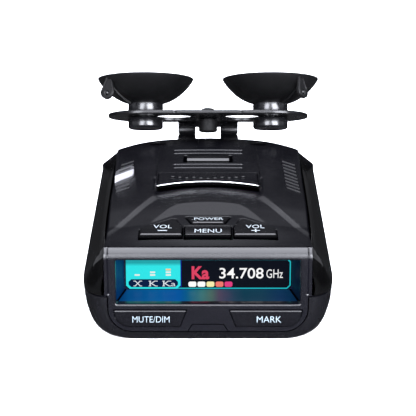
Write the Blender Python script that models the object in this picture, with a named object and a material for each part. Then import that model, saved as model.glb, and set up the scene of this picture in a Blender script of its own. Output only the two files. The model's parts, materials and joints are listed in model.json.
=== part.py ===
"""A windscreen radar detector on its folded steel bracket, one object for each physical piece.

Frame: +Z up, the display faces -Y, the antenna end faces +Y, and the origin is on the
underside at the middle of the housing. Sizes are in millimetres; make() turns them to metres.
"""

import math

import bmesh
import bpy
from mathutils import Matrix, Vector

MM = 0.001
GAP = 0.3                    # clearance between touching pieces

# Housing
LENGTH = 114.0               # display face to nose
WIDTH = 70.0                 # over the side panels
HALF_L, HALF_W = LENGTH / 2, WIDTH / 2
PARTING_Z = 13.0             # seam between the lower cover and what is above it
WALL = 2.0
BEZEL_W = 28.4               # half width of the display bezel
BEZEL_T = 2.7
SHOULDER_Y = 40.0            # where the sides end and the curved nose begins
CORNER_Y = -44.0             # where the rear corners end and the sides begin
NOSE_W = 30.2                # half width of the top where the nose begins

# Display
SCREEN_W, SCREEN_LOW, SCREEN_HIGH = 25.2, 10.7, 23.3   # the bezel's opening
SCREEN_DEPTH = 12.0                                    # how far the panel sits back
PANEL_W, PANEL_LOW, PANEL_HIGH = 23.2, 10.9, 20.2      # the shroud's opening at the panel

# Bracket
STEEL_T = 1.2
TONGUE_Z = 27.6              # middle of the tongue's thickness
TONGUE_IN = 16.0             # y of the prongs' inner ends
PRONG_IN, PRONG_OUT = 4.8, 10.6
BEND_Y, BEND_R = 70.0, 3.0
PLATE_TILT = math.radians(19.5)
PLATE_DEPTH = 25.6
PLATE_R = PLATE_DEPTH / 2
SEAT_X = 21.5                # middle of each suction cup
KEYHOLE_X, KEYHOLE_R = 11.9, 6.5
SEAT_R = 4.4
BUMPER_S = 9.0               # bumper's distance from the bend along the plate

# Suction cups
CUP_R, CUP_H = 16.5, 12.7
NECK_R, NECK_LOW, NECK_HIGH = 5.8, -4.0, 4.2
GROOVE_R = 4.0

MATERIALS = {
    "matte_black": ((0.022, 0.022, 0.026), 0.55, 0.0),
    "gloss_black": ((0.010, 0.010, 0.011), 0.08, 0.0),
    "bezel_grey": ((0.045, 0.045, 0.050), 0.45, 0.0),
    "button_black": ((0.020, 0.020, 0.024), 0.45, 0.0),
    "rubber_black": ((0.012, 0.012, 0.013), 0.50, 0.0),
    "bracket_steel": ((0.018, 0.018, 0.020), 0.40, 0.6),
    "chrome": ((0.80, 0.80, 0.82), 0.12, 1.0),
    "screen_glass": ((0.01, 0.02, 0.05), 0.05, 0.0),
    "ir_window": ((0.030, 0.004, 0.006), 0.06, 0.0),
    "circuit_green": ((0.02, 0.11, 0.05), 0.5, 0.0),
    "tin_plate": ((0.62, 0.62, 0.60), 0.3, 1.0),
    "cast_zinc": ((0.45, 0.45, 0.47), 0.4, 1.0),
    "switch_black": ((0.03, 0.03, 0.03), 0.5, 0.0),
    "copper_flex": ((0.45, 0.24, 0.06), 0.4, 0.0),
    "ceramic_tan": ((0.55, 0.47, 0.33), 0.6, 0.0),
    "clear_lens": ((0.25, 0.02, 0.03), 0.05, 0.0),
    "satin_silver": ((0.60, 0.60, 0.63), 0.3, 1.0),
}


# ---------------------------------------------------------------- building blocks

def material(name):
    found = bpy.data.materials.get(name)
    if found:
        return found
    colour, roughness, metallic = MATERIALS[name]
    made = bpy.data.materials.new(name)
    made.use_nodes = True
    shader = made.node_tree.nodes["Principled BSDF"]
    shader.inputs["Base Color"].default_value = (*colour, 1.0)
    shader.inputs["Roughness"].default_value = roughness
    shader.inputs["Metallic"].default_value = metallic
    return made


def make(name, bm, finish, smooth_angle=35.0):
    """A named object from a bmesh in millimetres."""
    bmesh.ops.recalc_face_normals(bm, faces=bm.faces[:])
    bmesh.ops.scale(bm, vec=(MM, MM, MM), verts=bm.verts[:])
    mesh = bpy.data.meshes.new(name)
    bm.to_mesh(mesh)
    bm.free()
    mesh.materials.append(material(finish))
    mesh.shade_smooth()
    mesh.set_sharp_from_angle(angle=math.radians(smooth_angle))
    obj = bpy.data.objects.new(name, mesh)
    bpy.context.scene.collection.objects.link(obj)
    return obj


def skin(rings):
    """A closed bmesh through rings of equal point counts, capped at both ends."""
    bm = bmesh.new()
    loops = [[bm.verts.new(p) for p in ring] for ring in rings]
    count = len(loops[0])
    for a, b in zip(loops, loops[1:]):
        for i in range(count):
            j = (i + 1) % count
            bm.faces.new((a[i], a[j], b[j], b[i]))
    bm.faces.new(loops[0][::-1])
    bm.faces.new(loops[-1])
    return bm


def along(axis, point, value):
    """A 2-D point placed on the plane at value along x, y or z."""
    a, b = point
    return {"x": (value, a, b), "y": (a, value, b), "z": (a, b, value)}[axis]


def prism(name, outline, axis, low, high, finish):
    return make(name, skin([[along(axis, p, v) for p in outline] for v in (low, high)]), finish)


def box(name, low, high, finish):
    (x0, y0, z0), (x1, y1, z1) = low, high
    return prism(name, [(x0, y0), (x1, y0), (x1, y1), (x0, y1)], "z", z0, z1, finish)


def circle(radius, steps, centre=(0.0, 0.0)):
    turn = 2 * math.pi / steps
    return [(centre[0] + radius * math.cos(i * turn), centre[1] + radius * math.sin(i * turn))
            for i in range(steps)]


def arc(centre, radius, start, end, steps):
    """Points on an arc, from one angle in degrees to another."""
    angles = [math.radians(start + (end - start) * i / steps) for i in range(steps + 1)]
    return [(centre[0] + radius * math.cos(a), centre[1] + radius * math.sin(a)) for a in angles]


def turned(name, profile, finish, steps=24, place=None):
    """A solid of revolution about +Z from (radius, height) pairs, then placed by a matrix."""
    bm = skin([[(x, y, h) for x, y in circle(r, steps)] for r, h in profile])
    if place:
        bmesh.ops.transform(bm, matrix=place, verts=bm.verts[:])
    return make(name, bm, finish)


def post(name, centre, radius, low, high, finish="matte_black", steps=16):
    return turned(name, [(radius, low), (radius, high)], finish, steps,
                  Matrix.Translation((centre[0], centre[1], 0)))


def combine(target, tool, operation="DIFFERENCE"):
    """A live Boolean, with its tool kept out of the model."""
    step = target.modifiers.new(tool.name, "BOOLEAN")
    step.object = tool
    step.operation = operation
    step.solver = "EXACT"
    tool.hide_render = True
    tool.display_type = "WIRE"
    return target


def mirrored(outline):
    """The outline reflected in x, kept in the same turning direction."""
    return [(-x, y) for x, y in reversed(outline)]


def interpolate(value, table):
    """Straight lines between (position, result) pairs, level beyond the ends."""
    if value <= table[0][0]:
        return table[0][1]
    for (a, fa), (b, fb) in zip(table, table[1:]):
        if value <= b:
            return fa + (fb - fa) * (value - a) / (b - a)
    return table[-1][1]


# ---------------------------------------------------------------- housing shape

NEAR_LEVEL = [(-57.0, 26.0), (-54.3, 26.4), (-49.5, 27.4), (-31.0, 28.8), (-26.0, 30.4),
              (-10.0, 30.9)]
MAIN_LEVEL = [(-57.0, 26.2), (-54.3, 26.6), (-41.0, 29.5), (-17.0, 31.3), (10.0, 31.5),
              (38.0, 31.2), (50.0, 30.7), (57.0, 29.6)]
PLATFORM_LEVEL = [(-12.0, 32.0), (4.0, 32.3), (38.0, 31.8), (40.0, 31.2)]
CREASE = ((15.3, -17.7), (26.2, -40.9))      # step between the near and main levels
PLATFORM_W = 16.0


def top_height(x, y):
    """Height of the top cover: a low near level for the keys, a higher main level, a platform."""
    a = abs(x)
    main = interpolate(y, MAIN_LEVEL) - 1.2 * (max(a - 18.0, 0.0) / 12.0) ** 2
    near = interpolate(y, NEAR_LEVEL)
    (x0, y0), (x1, y1) = CREASE
    crease_y = interpolate(a, [(x0, y0), (x1, y1), (31.0, -54.3)])
    if y < crease_y:
        return min(near, main)
    if a <= PLATFORM_W and -11.0 < y < 40.0:
        return interpolate(y, PLATFORM_LEVEL)
    return main


def top_edge(y):
    """Half width of the top cover's matt face."""
    return BEZEL_W + (NOSE_W - BEZEL_W) * (y + HALF_L) / (SHOULDER_Y + HALF_L)


def crease_height(y):
    """Height of the outer crease of a side panel, which rises towards the nose."""
    return 15.5 + 0.118 * (y - CORNER_Y)


def corner_inset(y):
    """How far a rear corner has drawn in from the full width."""
    if y >= CORNER_Y:
        return 0.0
    share = (CORNER_Y - y) / (HALF_L + CORNER_Y)
    return (HALF_W - BEZEL_W) * (1 - math.sqrt(max(1 - share ** 2, 0.0)))


def nose(width, start, end, steps=8):
    """Right half of the nose in plan: an arc from (width, start) to (0, end)."""
    rise = end - start
    radius = (width ** 2 + rise ** 2) / (2 * rise)
    sweep = math.degrees(math.asin(width / radius))
    return arc((0.0, end - radius), radius, 90 - sweep, 90, steps)


LOWER_SIDE = [(0.0, 26.0), (0.4, 28.7), (1.2, 30.7), (2.6, 32.2), (5.0, 33.4), (9.0, 34.5),
              (PARTING_Z, HALF_W)]          # height and half width of the lower cover


def lower_outline(z, inset=0.0):
    """The lower cover in plan at height z."""
    width = interpolate(z, LOWER_SIDE) - inset
    tuck = 1 - math.sqrt(max(1 - ((PARTING_Z - z) / PARTING_Z) ** 4, 0.0))
    rear, front = -HALF_L + 2.0 * tuck + inset, HALF_L - 5.0 * tuck - inset
    shrink = HALF_W - width
    ys = [-HALF_L, -56.4, -54.5, -51.5, -48.0, CORNER_Y]
    right = [(HALF_W - corner_inset(y) - shrink, y) for y in ys]
    right = [(x, rear + (y + HALF_L) * (CORNER_Y - rear) / (CORNER_Y + HALF_L)) for x, y in right]
    right += nose(width, SHOULDER_Y, front)[:-1]
    return right + [(0.0, front)] + mirrored(right)


def lower_solid(name, inset, levels):
    rings = [[(x, y, max(z, inset) if z < PARTING_Z else z) for x, y in lower_outline(z, inset)]
             for z in levels]
    return make(name, skin(rings), "matte_black")


def bezel_outline(grow=0.0):
    """The bezel seen from behind: square top, a step at the seam, round lower corners."""
    wide, narrow, low, radius = BEZEL_W + grow, 27.8 + grow, 2.7 - grow, 6.8 + grow
    right = arc((narrow - radius, low + radius), radius, -90, 0, 6)
    right += [(narrow, PARTING_Z - grow), (wide, PARTING_Z - grow), (wide, 30.0)]
    return right + mirrored(right)


def build_lower_cover():
    cover = lower_solid("lower_cover", 0.0, [z for z, _ in LOWER_SIDE])
    inside = [(3.0, 2.0), (5.5, 5.5), (9.0, 9.0), (PARTING_Z + 1, PARTING_Z + 1)]
    rings = [[(x, y, z) for x, y in lower_outline(min(level, PARTING_Z), WALL)]
             for level, z in inside]
    combine(cover, make("lower_cavity", skin(rings), "matte_black"))
    combine(cover, prism("bezel_cut", bezel_outline(GAP), "y", -60.0, -50.0, "matte_black"))
    for side in (-1, 1):
        combine(cover, post(f"front_post_{side}", (16.9 * side, 45.0), 2.6, 1.0, 25.7), "UNION")
        for y in (-46.5, 34.0):
            x = 13.0 * side if y < 0 else 20.0 * side
            combine(cover, post(f"screw_hole_{side}_{y:.0f}", (x, y), 1.4, -1.0, 4.0))
            combine(cover, post(f"screw_sink_{side}_{y:.0f}", (x, y), 2.7, -1.0, 1.2))
        combine(cover, post(f"post_pilot_{side}", (16.9 * side, 45.0), 1.3, 18.0, 28.0))
    for name, y, half, low, high in SOCKETS:
        combine(cover, box(f"{name}_port", (28.0, y - half, low), (40.0, y + half, high),
                           "matte_black"))
    return cover


SOCKETS = [("power_jack", -14.0, 6.4, 4.7, 12.4), ("earphone_jack", 1.0, 3.3, 5.7, 12.3),
           ("usb_port", 12.0, 4.4, 6.7, 11.3)]

VOLUME_KEY = [(7.2, -49.6), (19.0, -49.6), (19.0, -42.6), (10.2, -34.6), (9.3, -34.9),
              (7.2, -41.6)]
MENU_KEY = [(-6.4, -50.0), (6.4, -50.0), (6.4, -40.6), (-6.4, -40.6)]
POWER_KEY = [(-4.4, -39.4), (4.4, -39.4), (6.3, -33.5), (5.6, -33.0), (-5.6, -33.0),
             (-6.3, -33.5)]
RELEASE_W, RELEASE_NEAR, RELEASE_FAR = 6.8, 19.0, 26.0


def grown(outline, by):
    """The outline with each edge moved outwards."""
    made, count = [], len(outline)
    for i in range(count):
        p, q, r = (Vector(outline[(i + k) % count]) for k in (-1, 0, 1))
        d0, d1 = (q - p).normalized(), (r - q).normalized()
        n0, n1 = Vector((d0.y, -d0.x)), Vector((d1.y, -d1.x))
        bisector = (n0 + n1).normalized()
        made.append(tuple(q + bisector * by / max(bisector.dot(n0), 0.3)))
    return made


def sky():
    """What lies above the top cover: a block whose underside is the top's relief."""
    xs = [0.0, 5.5, 9.5, 15.9, 16.1, 18.0, 21.0, 24.0, 27.0, 31.0, 37.0]
    ys = [-60.0, -57.0, -54.3, -49.5, -41.0, -31.0, -26.0, -20.0, -17.7, -11.1, -10.9, 4.0,
          15.0, 26.0, 38.0, 40.0, 45.0, 50.0, 54.0, 57.0, 60.0]
    xs = [-x for x in reversed(xs[1:])] + xs
    bm = bmesh.new()
    low = [[bm.verts.new((x, y, top_height(x, y))) for x in xs] for y in ys]
    high = [[bm.verts.new((x, y, 40.0)) for x in xs] for y in ys]
    for j in range(len(ys) - 1):
        for i in range(len(xs) - 1):
            a, b, c, d = (low[j][i], low[j][i + 1], low[j + 1][i + 1], low[j + 1][i])
            bm.faces.new((a, b, c))
            bm.faces.new((a, c, d))
            bm.faces.new((high[j][i], high[j][i + 1], high[j + 1][i + 1], high[j + 1][i]))
    for j in range(len(ys) - 1):
        for i in (0, len(xs) - 1):
            bm.faces.new((low[j][i], low[j + 1][i], high[j + 1][i], high[j][i]))
    for i in range(len(xs) - 1):
        for j in (0, len(ys) - 1):
            bm.faces.new((low[j][i], low[j][i + 1], high[j][i + 1], high[j][i]))
    return make("sky", bm, "matte_black")


def nose_ring(width, end, z, start=SHOULDER_Y):
    right = [(width, start - 4.0)] + nose(width, start, end)[:-1]
    return [(x, y, z) for x, y in right + [(0.0, end)] + mirrored(right)]


def build_upper_cover():
    """The top cover: a lid between the side panels and a full-width curved nose."""
    base = PARTING_Z + GAP
    sides = [(top_edge(y), y) for y in (-HALF_L + BEZEL_T + GAP, SHOULDER_Y - 2.0)]
    cover = prism("upper_cover", sides + mirrored(sides), "z", base, 34.0, "matte_black")
    outside = [nose_ring(HALF_W, HALF_L, base), nose_ring(HALF_W, HALF_L, 25.2),
               nose_ring(NOSE_W, HALF_L - 0.6, 30.2), nose_ring(NOSE_W, HALF_L - 0.6, 34.0)]
    combine(cover, make("nose_block", skin(outside), "matte_black"), "UNION")
    inner = [(top_edge(y) - WALL, y) for y in (-60.0, SHOULDER_Y)]
    cavity = prism("lid_cavity", inner + mirrored(inner), "z", 5.0, 24.0, "matte_black")
    combine(cavity, sky_floor(), "UNION")
    combine(cover, cavity)
    hollow = [nose_ring(NOSE_W - WALL, HALF_L - WALL - 0.3, z, SHOULDER_Y - 1.0)
              for z in (5.0, 26.0)]
    combine(cover, make("nose_hollow", skin(hollow), "matte_black"))
    combine(cover, sky())
    for side in (-1, 1):
        combine(cover, post(f"cover_boss_{side}", (20.0 * side, 34.0), 2.8, 3.3, 29.5), "UNION")
        combine(cover, post(f"boss_pilot_{side}", (20.0 * side, 34.0), 1.3, 0.0, 13.0))
        combine(cover, post(f"top_screw_hole_{side}", (16.9 * side, 45.0), 1.4, 20.0, 34.0))
        combine(cover, post(f"top_screw_sink_{side}", (16.9 * side, 45.0), 2.7, 28.6, 34.0))
    for name, outline in (("volume_up", VOLUME_KEY), ("volume_down", mirrored(VOLUME_KEY)),
                          ("menu", MENU_KEY), ("power", POWER_KEY)):
        combine(cover, prism(f"{name}_hole", grown(outline, 0.45), "z", 20.0, 36.0,
                             "matte_black"))
    combine(cover, box("release_hole", (-RELEASE_W - 1.1, RELEASE_NEAR - GAP, 20.0),
                       (RELEASE_W + 1.1, RELEASE_FAR + GAP, 36.0), "matte_black"))
    combine(cover, box("release_dish", (-RELEASE_W - 1.1, 15.2, 30.4),
                       (RELEASE_W + 1.1, 20.0, 36.0), "matte_black"))
    combine(cover, box("tongue_slot", (-PRONG_OUT - 0.5, 5.0, TONGUE_Z - 1.0),
                       (PRONG_OUT + 0.5, 60.0, TONGUE_Z + 1.0), "matte_black"))
    combine(cover, window_band("window_cut", GAP))
    combine(cover, prism("badge_cut", badge_outline(GAP, 1.15 + GAP), "z", 30.8, 36.0, "matte_black"))
    for side in (-1, 1):
        combine(cover, grille_solid(f"grille_cut_{side}", side, GAP, 27.9, 36.0))
    return cover


def sky_floor():
    """The lid's cavity up to the underside of the top, which steps up with it."""
    steps = [(-60.0, -49.0, 25.0), (-49.0, -36.0, 25.7), (-36.0, -22.0, 27.0),
             (-22.0, SHOULDER_Y, 28.6)]
    outline = [(steps[0][0], 20.0)]
    for near, far, z in steps:
        outline += [(near, z), (far, z)]
    outline.append((steps[-1][1], 20.0))
    return prism("lid_cavity_steps", outline, "x", -26.0, 26.0, "matte_black")


def badge_near(x):
    """Front edge of the badge, an arc that is furthest back at the middle."""
    return -7.4 - 3.7 * (x / 15.2) ** 2


def badge_outline(grow=0.0, front_grow=0.0):
    """The badge in plan: a rectangle with small far corners and an arched front edge."""
    wide, far = 15.2 + grow, 3.6 + grow
    xs = [-wide] + [-15.2 + 1.52 * i for i in range(1, 20)] + [wide]
    front = [(x, badge_near(max(-15.2, min(x, 15.2))) - front_grow) for x in xs]
    return front + [(wide, far - 1.0), (wide - 1.0, far), (-wide + 1.0, far), (-wide, far - 1.0)]


def grille_corners(side, grow=0.0):
    """The slanted four-sided field of a vent grille."""
    inner, outer, slope = 23.6 - grow, 28.0 + grow, 0.82
    near, far = -6.6 - 1.3 * grow, 25.2 + 1.3 * grow
    return [(x * side, y - slope * (x - 23.6)) for x, y in
            ((inner, near), (outer, near), (outer, far), (inner, far))]


def grille_solid(name, side, grow, low, high, finish="matte_black"):
    return prism(name, grille_corners(side, grow), "z", low, high, finish)


def window_band(name, grow=0.0, finish="ir_window"):
    """The nose's infra-red window: a curved band in front of the laser lens and the horn."""
    radius = (HALF_W ** 2 + (HALF_L - SHOULDER_Y) ** 2) / (2 * (HALF_L - SHOULDER_Y))
    centre = (0.0, HALF_L - radius)
    sweep = math.degrees(math.asin((26.0 + grow) / radius))
    outer = arc(centre, radius + (2.0 if grow else 0.0), 90 - sweep, 90 + sweep, 12)
    inner = arc(centre, radius - 1.6 - grow, 90 + sweep, 90 - sweep, 12)
    return prism(name, outer + inner, "z", 15.0 - grow, 22.6 + grow, finish)


def panel_section(side, y):
    """One cross-section of a side panel: outer facets down to the seam, then back up inside."""
    edge = top_edge(y) + GAP
    drawn = corner_inset(y)
    outer = max(HALF_W - drawn, edge + 0.8)
    crest = interpolate(y, [(-57.0, 22.2), (-52.0, 22.0), (-47.0, 24.5), (-43.0, 27.6),
                            (-25.0, 29.6), (-10.0, 30.3), (SHOULDER_Y, 30.0)])
    crease = crease_height(max(y, CORNER_Y))
    middle = (edge + (outer - edge) * 0.56, crest + (crease - crest) * 0.52)
    base = PARTING_Z + GAP
    inner = max(outer - 1.8, edge + 0.4)
    points = [(edge, crest), middle, (outer, crease), (outer, base), (inner, base),
              (inner, crease - 0.8), (edge + 0.4, crest - 4.0), (edge, crest - 4.0)]
    return [(x * side, y, z) for x, z in points]


def build_side_panel(side, name):
    ys = [-56.9, -56.4, -54.5, -51.5, -48.0, -45.0, -43.0, -34.0, -25.0, -10.0, 10.0, 35.6]
    return make(name, skin([panel_section(side, y) for y in ys]), "gloss_black")


def build_bezel():
    """The display bezel: a plate whose top edge rolls back into the top cover."""
    front, back = -HALF_L, -HALF_L + BEZEL_T
    bezel = prism("display_bezel", bezel_outline(), "y", front, back, "bezel_grey")
    roll = [(front - 1.0, 23.4), (front, 23.4)]
    roll += arc((front + 3.0, 23.4), 3.0, 180, 90, 5)[1:]
    roll += [(back + 2.0, 26.4), (back + 2.0, 34.0), (front - 1.0, 34.0)]
    combine(bezel, prism("bezel_roll", roll, "x", -32.0, 32.0, "bezel_grey"))
    opening = [(-SCREEN_W, SCREEN_LOW), (SCREEN_W, SCREEN_LOW), (SCREEN_W, SCREEN_HIGH),
               (-SCREEN_W, SCREEN_HIGH)]
    combine(bezel, prism("screen_opening", opening, "y", -60.0, -50.0, "bezel_grey"))
    for name, outline in (("mark", FACE_KEY), ("mute", mirrored(FACE_KEY))):
        combine(bezel, prism(f"{name}_hole", grown(outline, 0.3), "y", -60.0, -50.0,
                             "bezel_grey"))
    return bezel


FACE_KEY = [(7.7, 4.3), (20.6, 4.3), *arc((21.4, 8.6), 4.3, -80, -5, 4), (25.8, 9.0),
            (5.9, 9.0)]


def build_shroud():
    """The light shroud between the bezel and the panel: a tapering tunnel with screw bosses."""
    front, back = -HALF_L + BEZEL_T + GAP, -HALF_L + SCREEN_DEPTH
    wall = 1.2

    def ring(y, wide, low, high):
        return [(-wide, y, low), (wide, y, low), (wide, y, high), (-wide, y, high)]

    shell = [ring(front, SCREEN_W + 0.6, SCREEN_LOW - wall, 24.6),
             ring(back, PANEL_W + wall, PANEL_LOW - wall, PANEL_HIGH + wall)]
    shroud = make("display_shroud", skin(shell), "gloss_black")
    for side in (-1, 1):
        combine(shroud, post(f"shroud_boss_{side}", (13.0 * side, -46.5), 2.6, 3.3, 9.9,
                             "gloss_black"), "UNION")
        combine(shroud, post(f"shroud_pilot_{side}", (13.0 * side, -46.5), 1.3, 2.0, 9.4))
    reach = 2.0
    tunnel = [ring(front - reach, SCREEN_W + 0.2, SCREEN_LOW - 0.1, SCREEN_HIGH + 0.5),
              ring(back + reach, PANEL_W - 0.3, PANEL_LOW, PANEL_HIGH - 0.5)]
    combine(shroud, make("tunnel", skin(tunnel), "gloss_black"))
    return shroud


# ---------------------------------------------------------------- keys

def sloped_key(name, outline, near, far, foot, stem, finish="button_black"):
    """A top key: an outline raised to a sloping face, with a round stem over its switch."""
    def height(y):
        return near[1] + (far[1] - near[1]) * (y - near[0]) / (far[0] - near[0])

    rim = [(x, y, foot) for x, y in outline]
    shoulder = [(x, y, height(y) - 0.35) for x, y in outline]
    face = [(x, y, height(y)) for x, y in grown(outline, -0.35)]
    key = make(name, skin([rim, shoulder, face]), finish)
    combine(key, post(f"{name}_stem", stem, 1.5, 25.5, foot + 0.5, finish, 12), "UNION")
    return key


def build_keys():
    low, high = (-50.0, 28.0), (-31.6, 29.0)
    stem_y = -41.6
    sloped_key("volume_up_button", VOLUME_KEY, low, high, 26.6, (13.0, stem_y))
    sloped_key("volume_down_button", mirrored(VOLUME_KEY), low, high, 26.6, (-13.0, stem_y))
    sloped_key("menu_button", MENU_KEY, (-50.0, 27.9), (-40.6, 28.5), 26.6, (0.0, -42.3))
    sloped_key("power_button", POWER_KEY, (-39.4, 28.95), (-33.0, 28.85), 26.9, (0.0, -35.6))
    for name, outline, x in (("mark_button", FACE_KEY, 15.0),
                             ("mute_dim_button", mirrored(FACE_KEY), -15.0)):
        face, lip = -HALF_L - 0.4, 0.35
        rings = [[along("y", p, -54.4) for p in outline],
                 [along("y", p, face + lip) for p in outline],
                 [along("y", p, face) for p in grown(outline, -lip)]]
        key = make(name, skin(rings), "button_black")
        stem = turned(f"{name}_stem", [(1.5, 0.0), (1.5, 1.2)], "button_black", 12,
                      Matrix.Translation((x, -53.9, 6.6)) @ Matrix.Rotation(math.pi / 2, 4, "X"))
        combine(key, stem, "UNION")


def build_release():
    """The bracket release: a ramped cap on a block that sits between the tongue's prongs."""
    side = [(RELEASE_NEAR, 30.0), (RELEASE_NEAR, 30.6), (22.6, 32.2), (RELEASE_FAR, 32.4),
            (RELEASE_FAR, 30.0)]
    release = prism("release_button", side, "x", -RELEASE_W, RELEASE_W, "button_black")
    combine(release, box("release_block", (-4.3, 19.6, 23.0), (4.3, 25.4, 30.5),
                         "button_black"), "UNION")
    combine(release, post("release_spring_seat", (0.0, 22.5), 1.2, 21.0, 23.5, "button_black"),
            "UNION")
    turns, wire, radius, low, high = 5, 0.35, 1.95, 17.6, 22.4
    steps = 12
    bm_rings = []
    for i in range(turns * steps + 1):
        a = 2 * math.pi * i / steps
        z = low + (high - low) * i / (turns * steps)
        out = Vector((math.cos(a), math.sin(a), 0.0))
        centre = Vector((0.0, 22.5, z)) + out * radius
        ring = [centre + out * wire * math.cos(b) + Vector((0, 0, wire * math.sin(b)))
                for b in (k * math.pi / 3 for k in range(6))]
        bm_rings.append([tuple(p) for p in ring])
    make("release_spring", skin(bm_rings), "tin_plate")


# ---------------------------------------------------------------- inner parts

def build_electronics():
    board = [(-26.0, -40.0), (26.0, -40.0), (26.0, -22.0), (18.0, -22.0), (18.0, 18.0),
             (26.0, 18.0), (26.0, 28.0), (16.0, 30.0), (13.0, 40.0), (-13.0, 40.0),
             (-16.0, 30.0), (-26.0, 28.0)]
    prism("main_board", board, "z", 7.0, 8.6, "circuit_green")
    box("top_key_board", (-20.0, -45.0, 22.4), (20.0, -30.0, 23.6), "circuit_green")
    box("front_key_board", (-24.0, -52.3, 3.3), (24.0, -51.1, 9.1), "circuit_green")
    for name, x, y in (("volume_down", -13.0, -41.6), ("menu", 0.0, -42.3),
                       ("volume_up", 13.0, -41.6), ("power", 0.0, -35.6)):
        tact_switch(f"{name}_switch", Matrix.Translation((x, y, 23.9)))
    upright = Matrix.Rotation(math.pi / 2, 4, "X")
    for name, x in (("mute_dim", -15.0), ("mark", 15.0)):
        tact_switch(f"{name}_switch", Matrix.Translation((x, -52.6, 6.6)) @ upright, 0.5)
    box("oled_panel", (-24.4, -44.7, 10.2), (24.4, -42.7, 21.2), "screen_glass")
    ribbon = [(-42.4, 12.0), (-42.1, 12.0), (-41.6, 9.4), (-36.0, 9.2), (-36.0, 8.9),
              (-41.9, 9.1)]
    prism("display_ribbon", ribbon, "x", -6.0, 6.0, "copper_flex")
    box("shield_can", (-14.0, -34.0, 8.9), (14.0, -20.0, 11.6), "tin_plate")
    box("gps_antenna", (7.0, -17.0, 8.9), (17.0, -7.0, 12.9), "ceramic_tan")
    place = Matrix.Translation((-15.0, -9.0, 0.0))
    turned("speaker_frame", [(6.5, 17.3), (9.6, 21.4), (9.6, 22.6), (7.9, 22.6), (3.0, 19.4)],
           "switch_black", 24, place)
    turned("speaker_magnet", [(5.8, 11.4), (5.8, 17.0)], "tin_plate", 20, place)
    box("laser_sensor_board", (-25.5, 37.2, 13.6), (-18.5, 38.2, 22.0), "circuit_green")
    lens = Matrix.Translation((-22.0, 38.6, 17.8)) @ Matrix.Rotation(-math.pi / 2, 4, "X")
    turned("laser_lens", [(3.4, 0.0), (3.4, 1.6), (2.9, 2.6), (1.8, 3.3), (0.5, 3.6)],
           "clear_lens", 20, lens)
    build_horn()
    build_jacks()


def tact_switch(name, place, plunger=0.8):
    """A square surface-mount switch with a round plunger, facing +Z before it is placed."""
    body = [[(x, y, z) for x, y in ((-2.2, -2.2), (2.2, -2.2), (2.2, 2.2), (-2.2, 2.2))]
            for z in (0.0, 0.7)]
    bm = skin(body)
    bmesh.ops.transform(bm, matrix=place, verts=bm.verts[:])
    switch = make(name, bm, "switch_black")
    dome = turned(f"{name}_plunger", [(1.1, 0.4), (1.1, 0.7 + plunger * 0.3),
                                      (0.7, 0.7 + plunger * 0.4)], "switch_black", 12, place)
    combine(switch, dome, "UNION")


def build_horn():
    """The cast microwave horn: a waveguide block that flares to an open mouth at the nose."""
    def ring(y, wide, low, high):
        return [(-wide, y, low), (wide, y, low), (wide, y, high), (-wide, y, high)]

    outer = [ring(4.0, 8.0, 8.9, 17.0), ring(30.0, 8.0, 8.9, 17.0), ring(48.5, 13.3, 8.9, 24.6)]
    horn = make("horn_antenna", skin(outer), "cast_zinc")
    mouth = [ring(20.0, 4.0, 11.0, 15.0), ring(30.5, 6.0, 10.6, 15.4),
             ring(49.0, 12.0, 10.2, 23.4)]
    combine(horn, make("horn_mouth", skin(mouth), "cast_zinc"))


def build_jacks():
    """The three sockets behind the right side's openings."""
    for name, y, half, low, high in SOCKETS:
        jack = box(name, (20.6, y - half + GAP, low + GAP), (32.2, y + half - GAP, high - GAP),
                   "switch_black")
        if name == "power_jack":
            mouth = box("power_mouth", (23.0, y - 4.9, 5.8), (34.0, y + 4.9, 11.4),
                        "switch_black")
        elif name == "usb_port":
            mouth = box("usb_mouth", (25.6, y - 3.5, 7.6), (34.0, y + 3.5, 10.4),
                        "switch_black")
        else:
            along_x = Matrix.Translation((21.6, y, 9.0)) @ Matrix.Rotation(math.pi / 2, 4, "Y")
            mouth = turned("earphone_mouth", [(1.8, 0.0), (1.8, 14.0)], "switch_black", 16,
                           along_x)
        combine(jack, mouth)


def build_screws():
    """Four case screws from below and two from the top, each with a cross recess."""
    spots = [("case_screw_rear_left", -13.0, -46.5), ("case_screw_rear_right", 13.0, -46.5),
             ("case_screw_front_left", -20.0, 34.0), ("case_screw_front_right", 20.0, 34.0)]
    for name, x, y in spots:
        screw(name, Matrix.Translation((x, y, 0.9)) @ Matrix.Rotation(math.pi, 4, "X"), 7.6)
    for name, x in (("top_screw_left", -16.9), ("top_screw_right", 16.9)):
        screw(name, Matrix.Translation((x, 45.0, 29.2)), 8.0)


def screw(name, place, length):
    """A pan-head screw pointing down -Z, its head resting at height 0."""
    body = turned(name, [(1.0, -length), (1.0, 0.0), (2.2, 0.0), (2.2, 0.45), (1.5, 0.8)],
                  "tin_plate", 16, place)
    for i, turn in enumerate((0.0, math.pi / 2)):
        bar = box(f"{name}_recess_{i}", (-1.1, -0.22, 0.3), (1.1, 0.22, 1.2), "tin_plate")
        bar.matrix_world = scaled(place @ Matrix.Rotation(turn, 4, "Z"))
        combine(body, bar)


def scaled(matrix):
    """The same placement with its translation in metres."""
    made = matrix.copy()
    made.translation = matrix.translation * MM
    return made


# ---------------------------------------------------------------- trim

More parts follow.
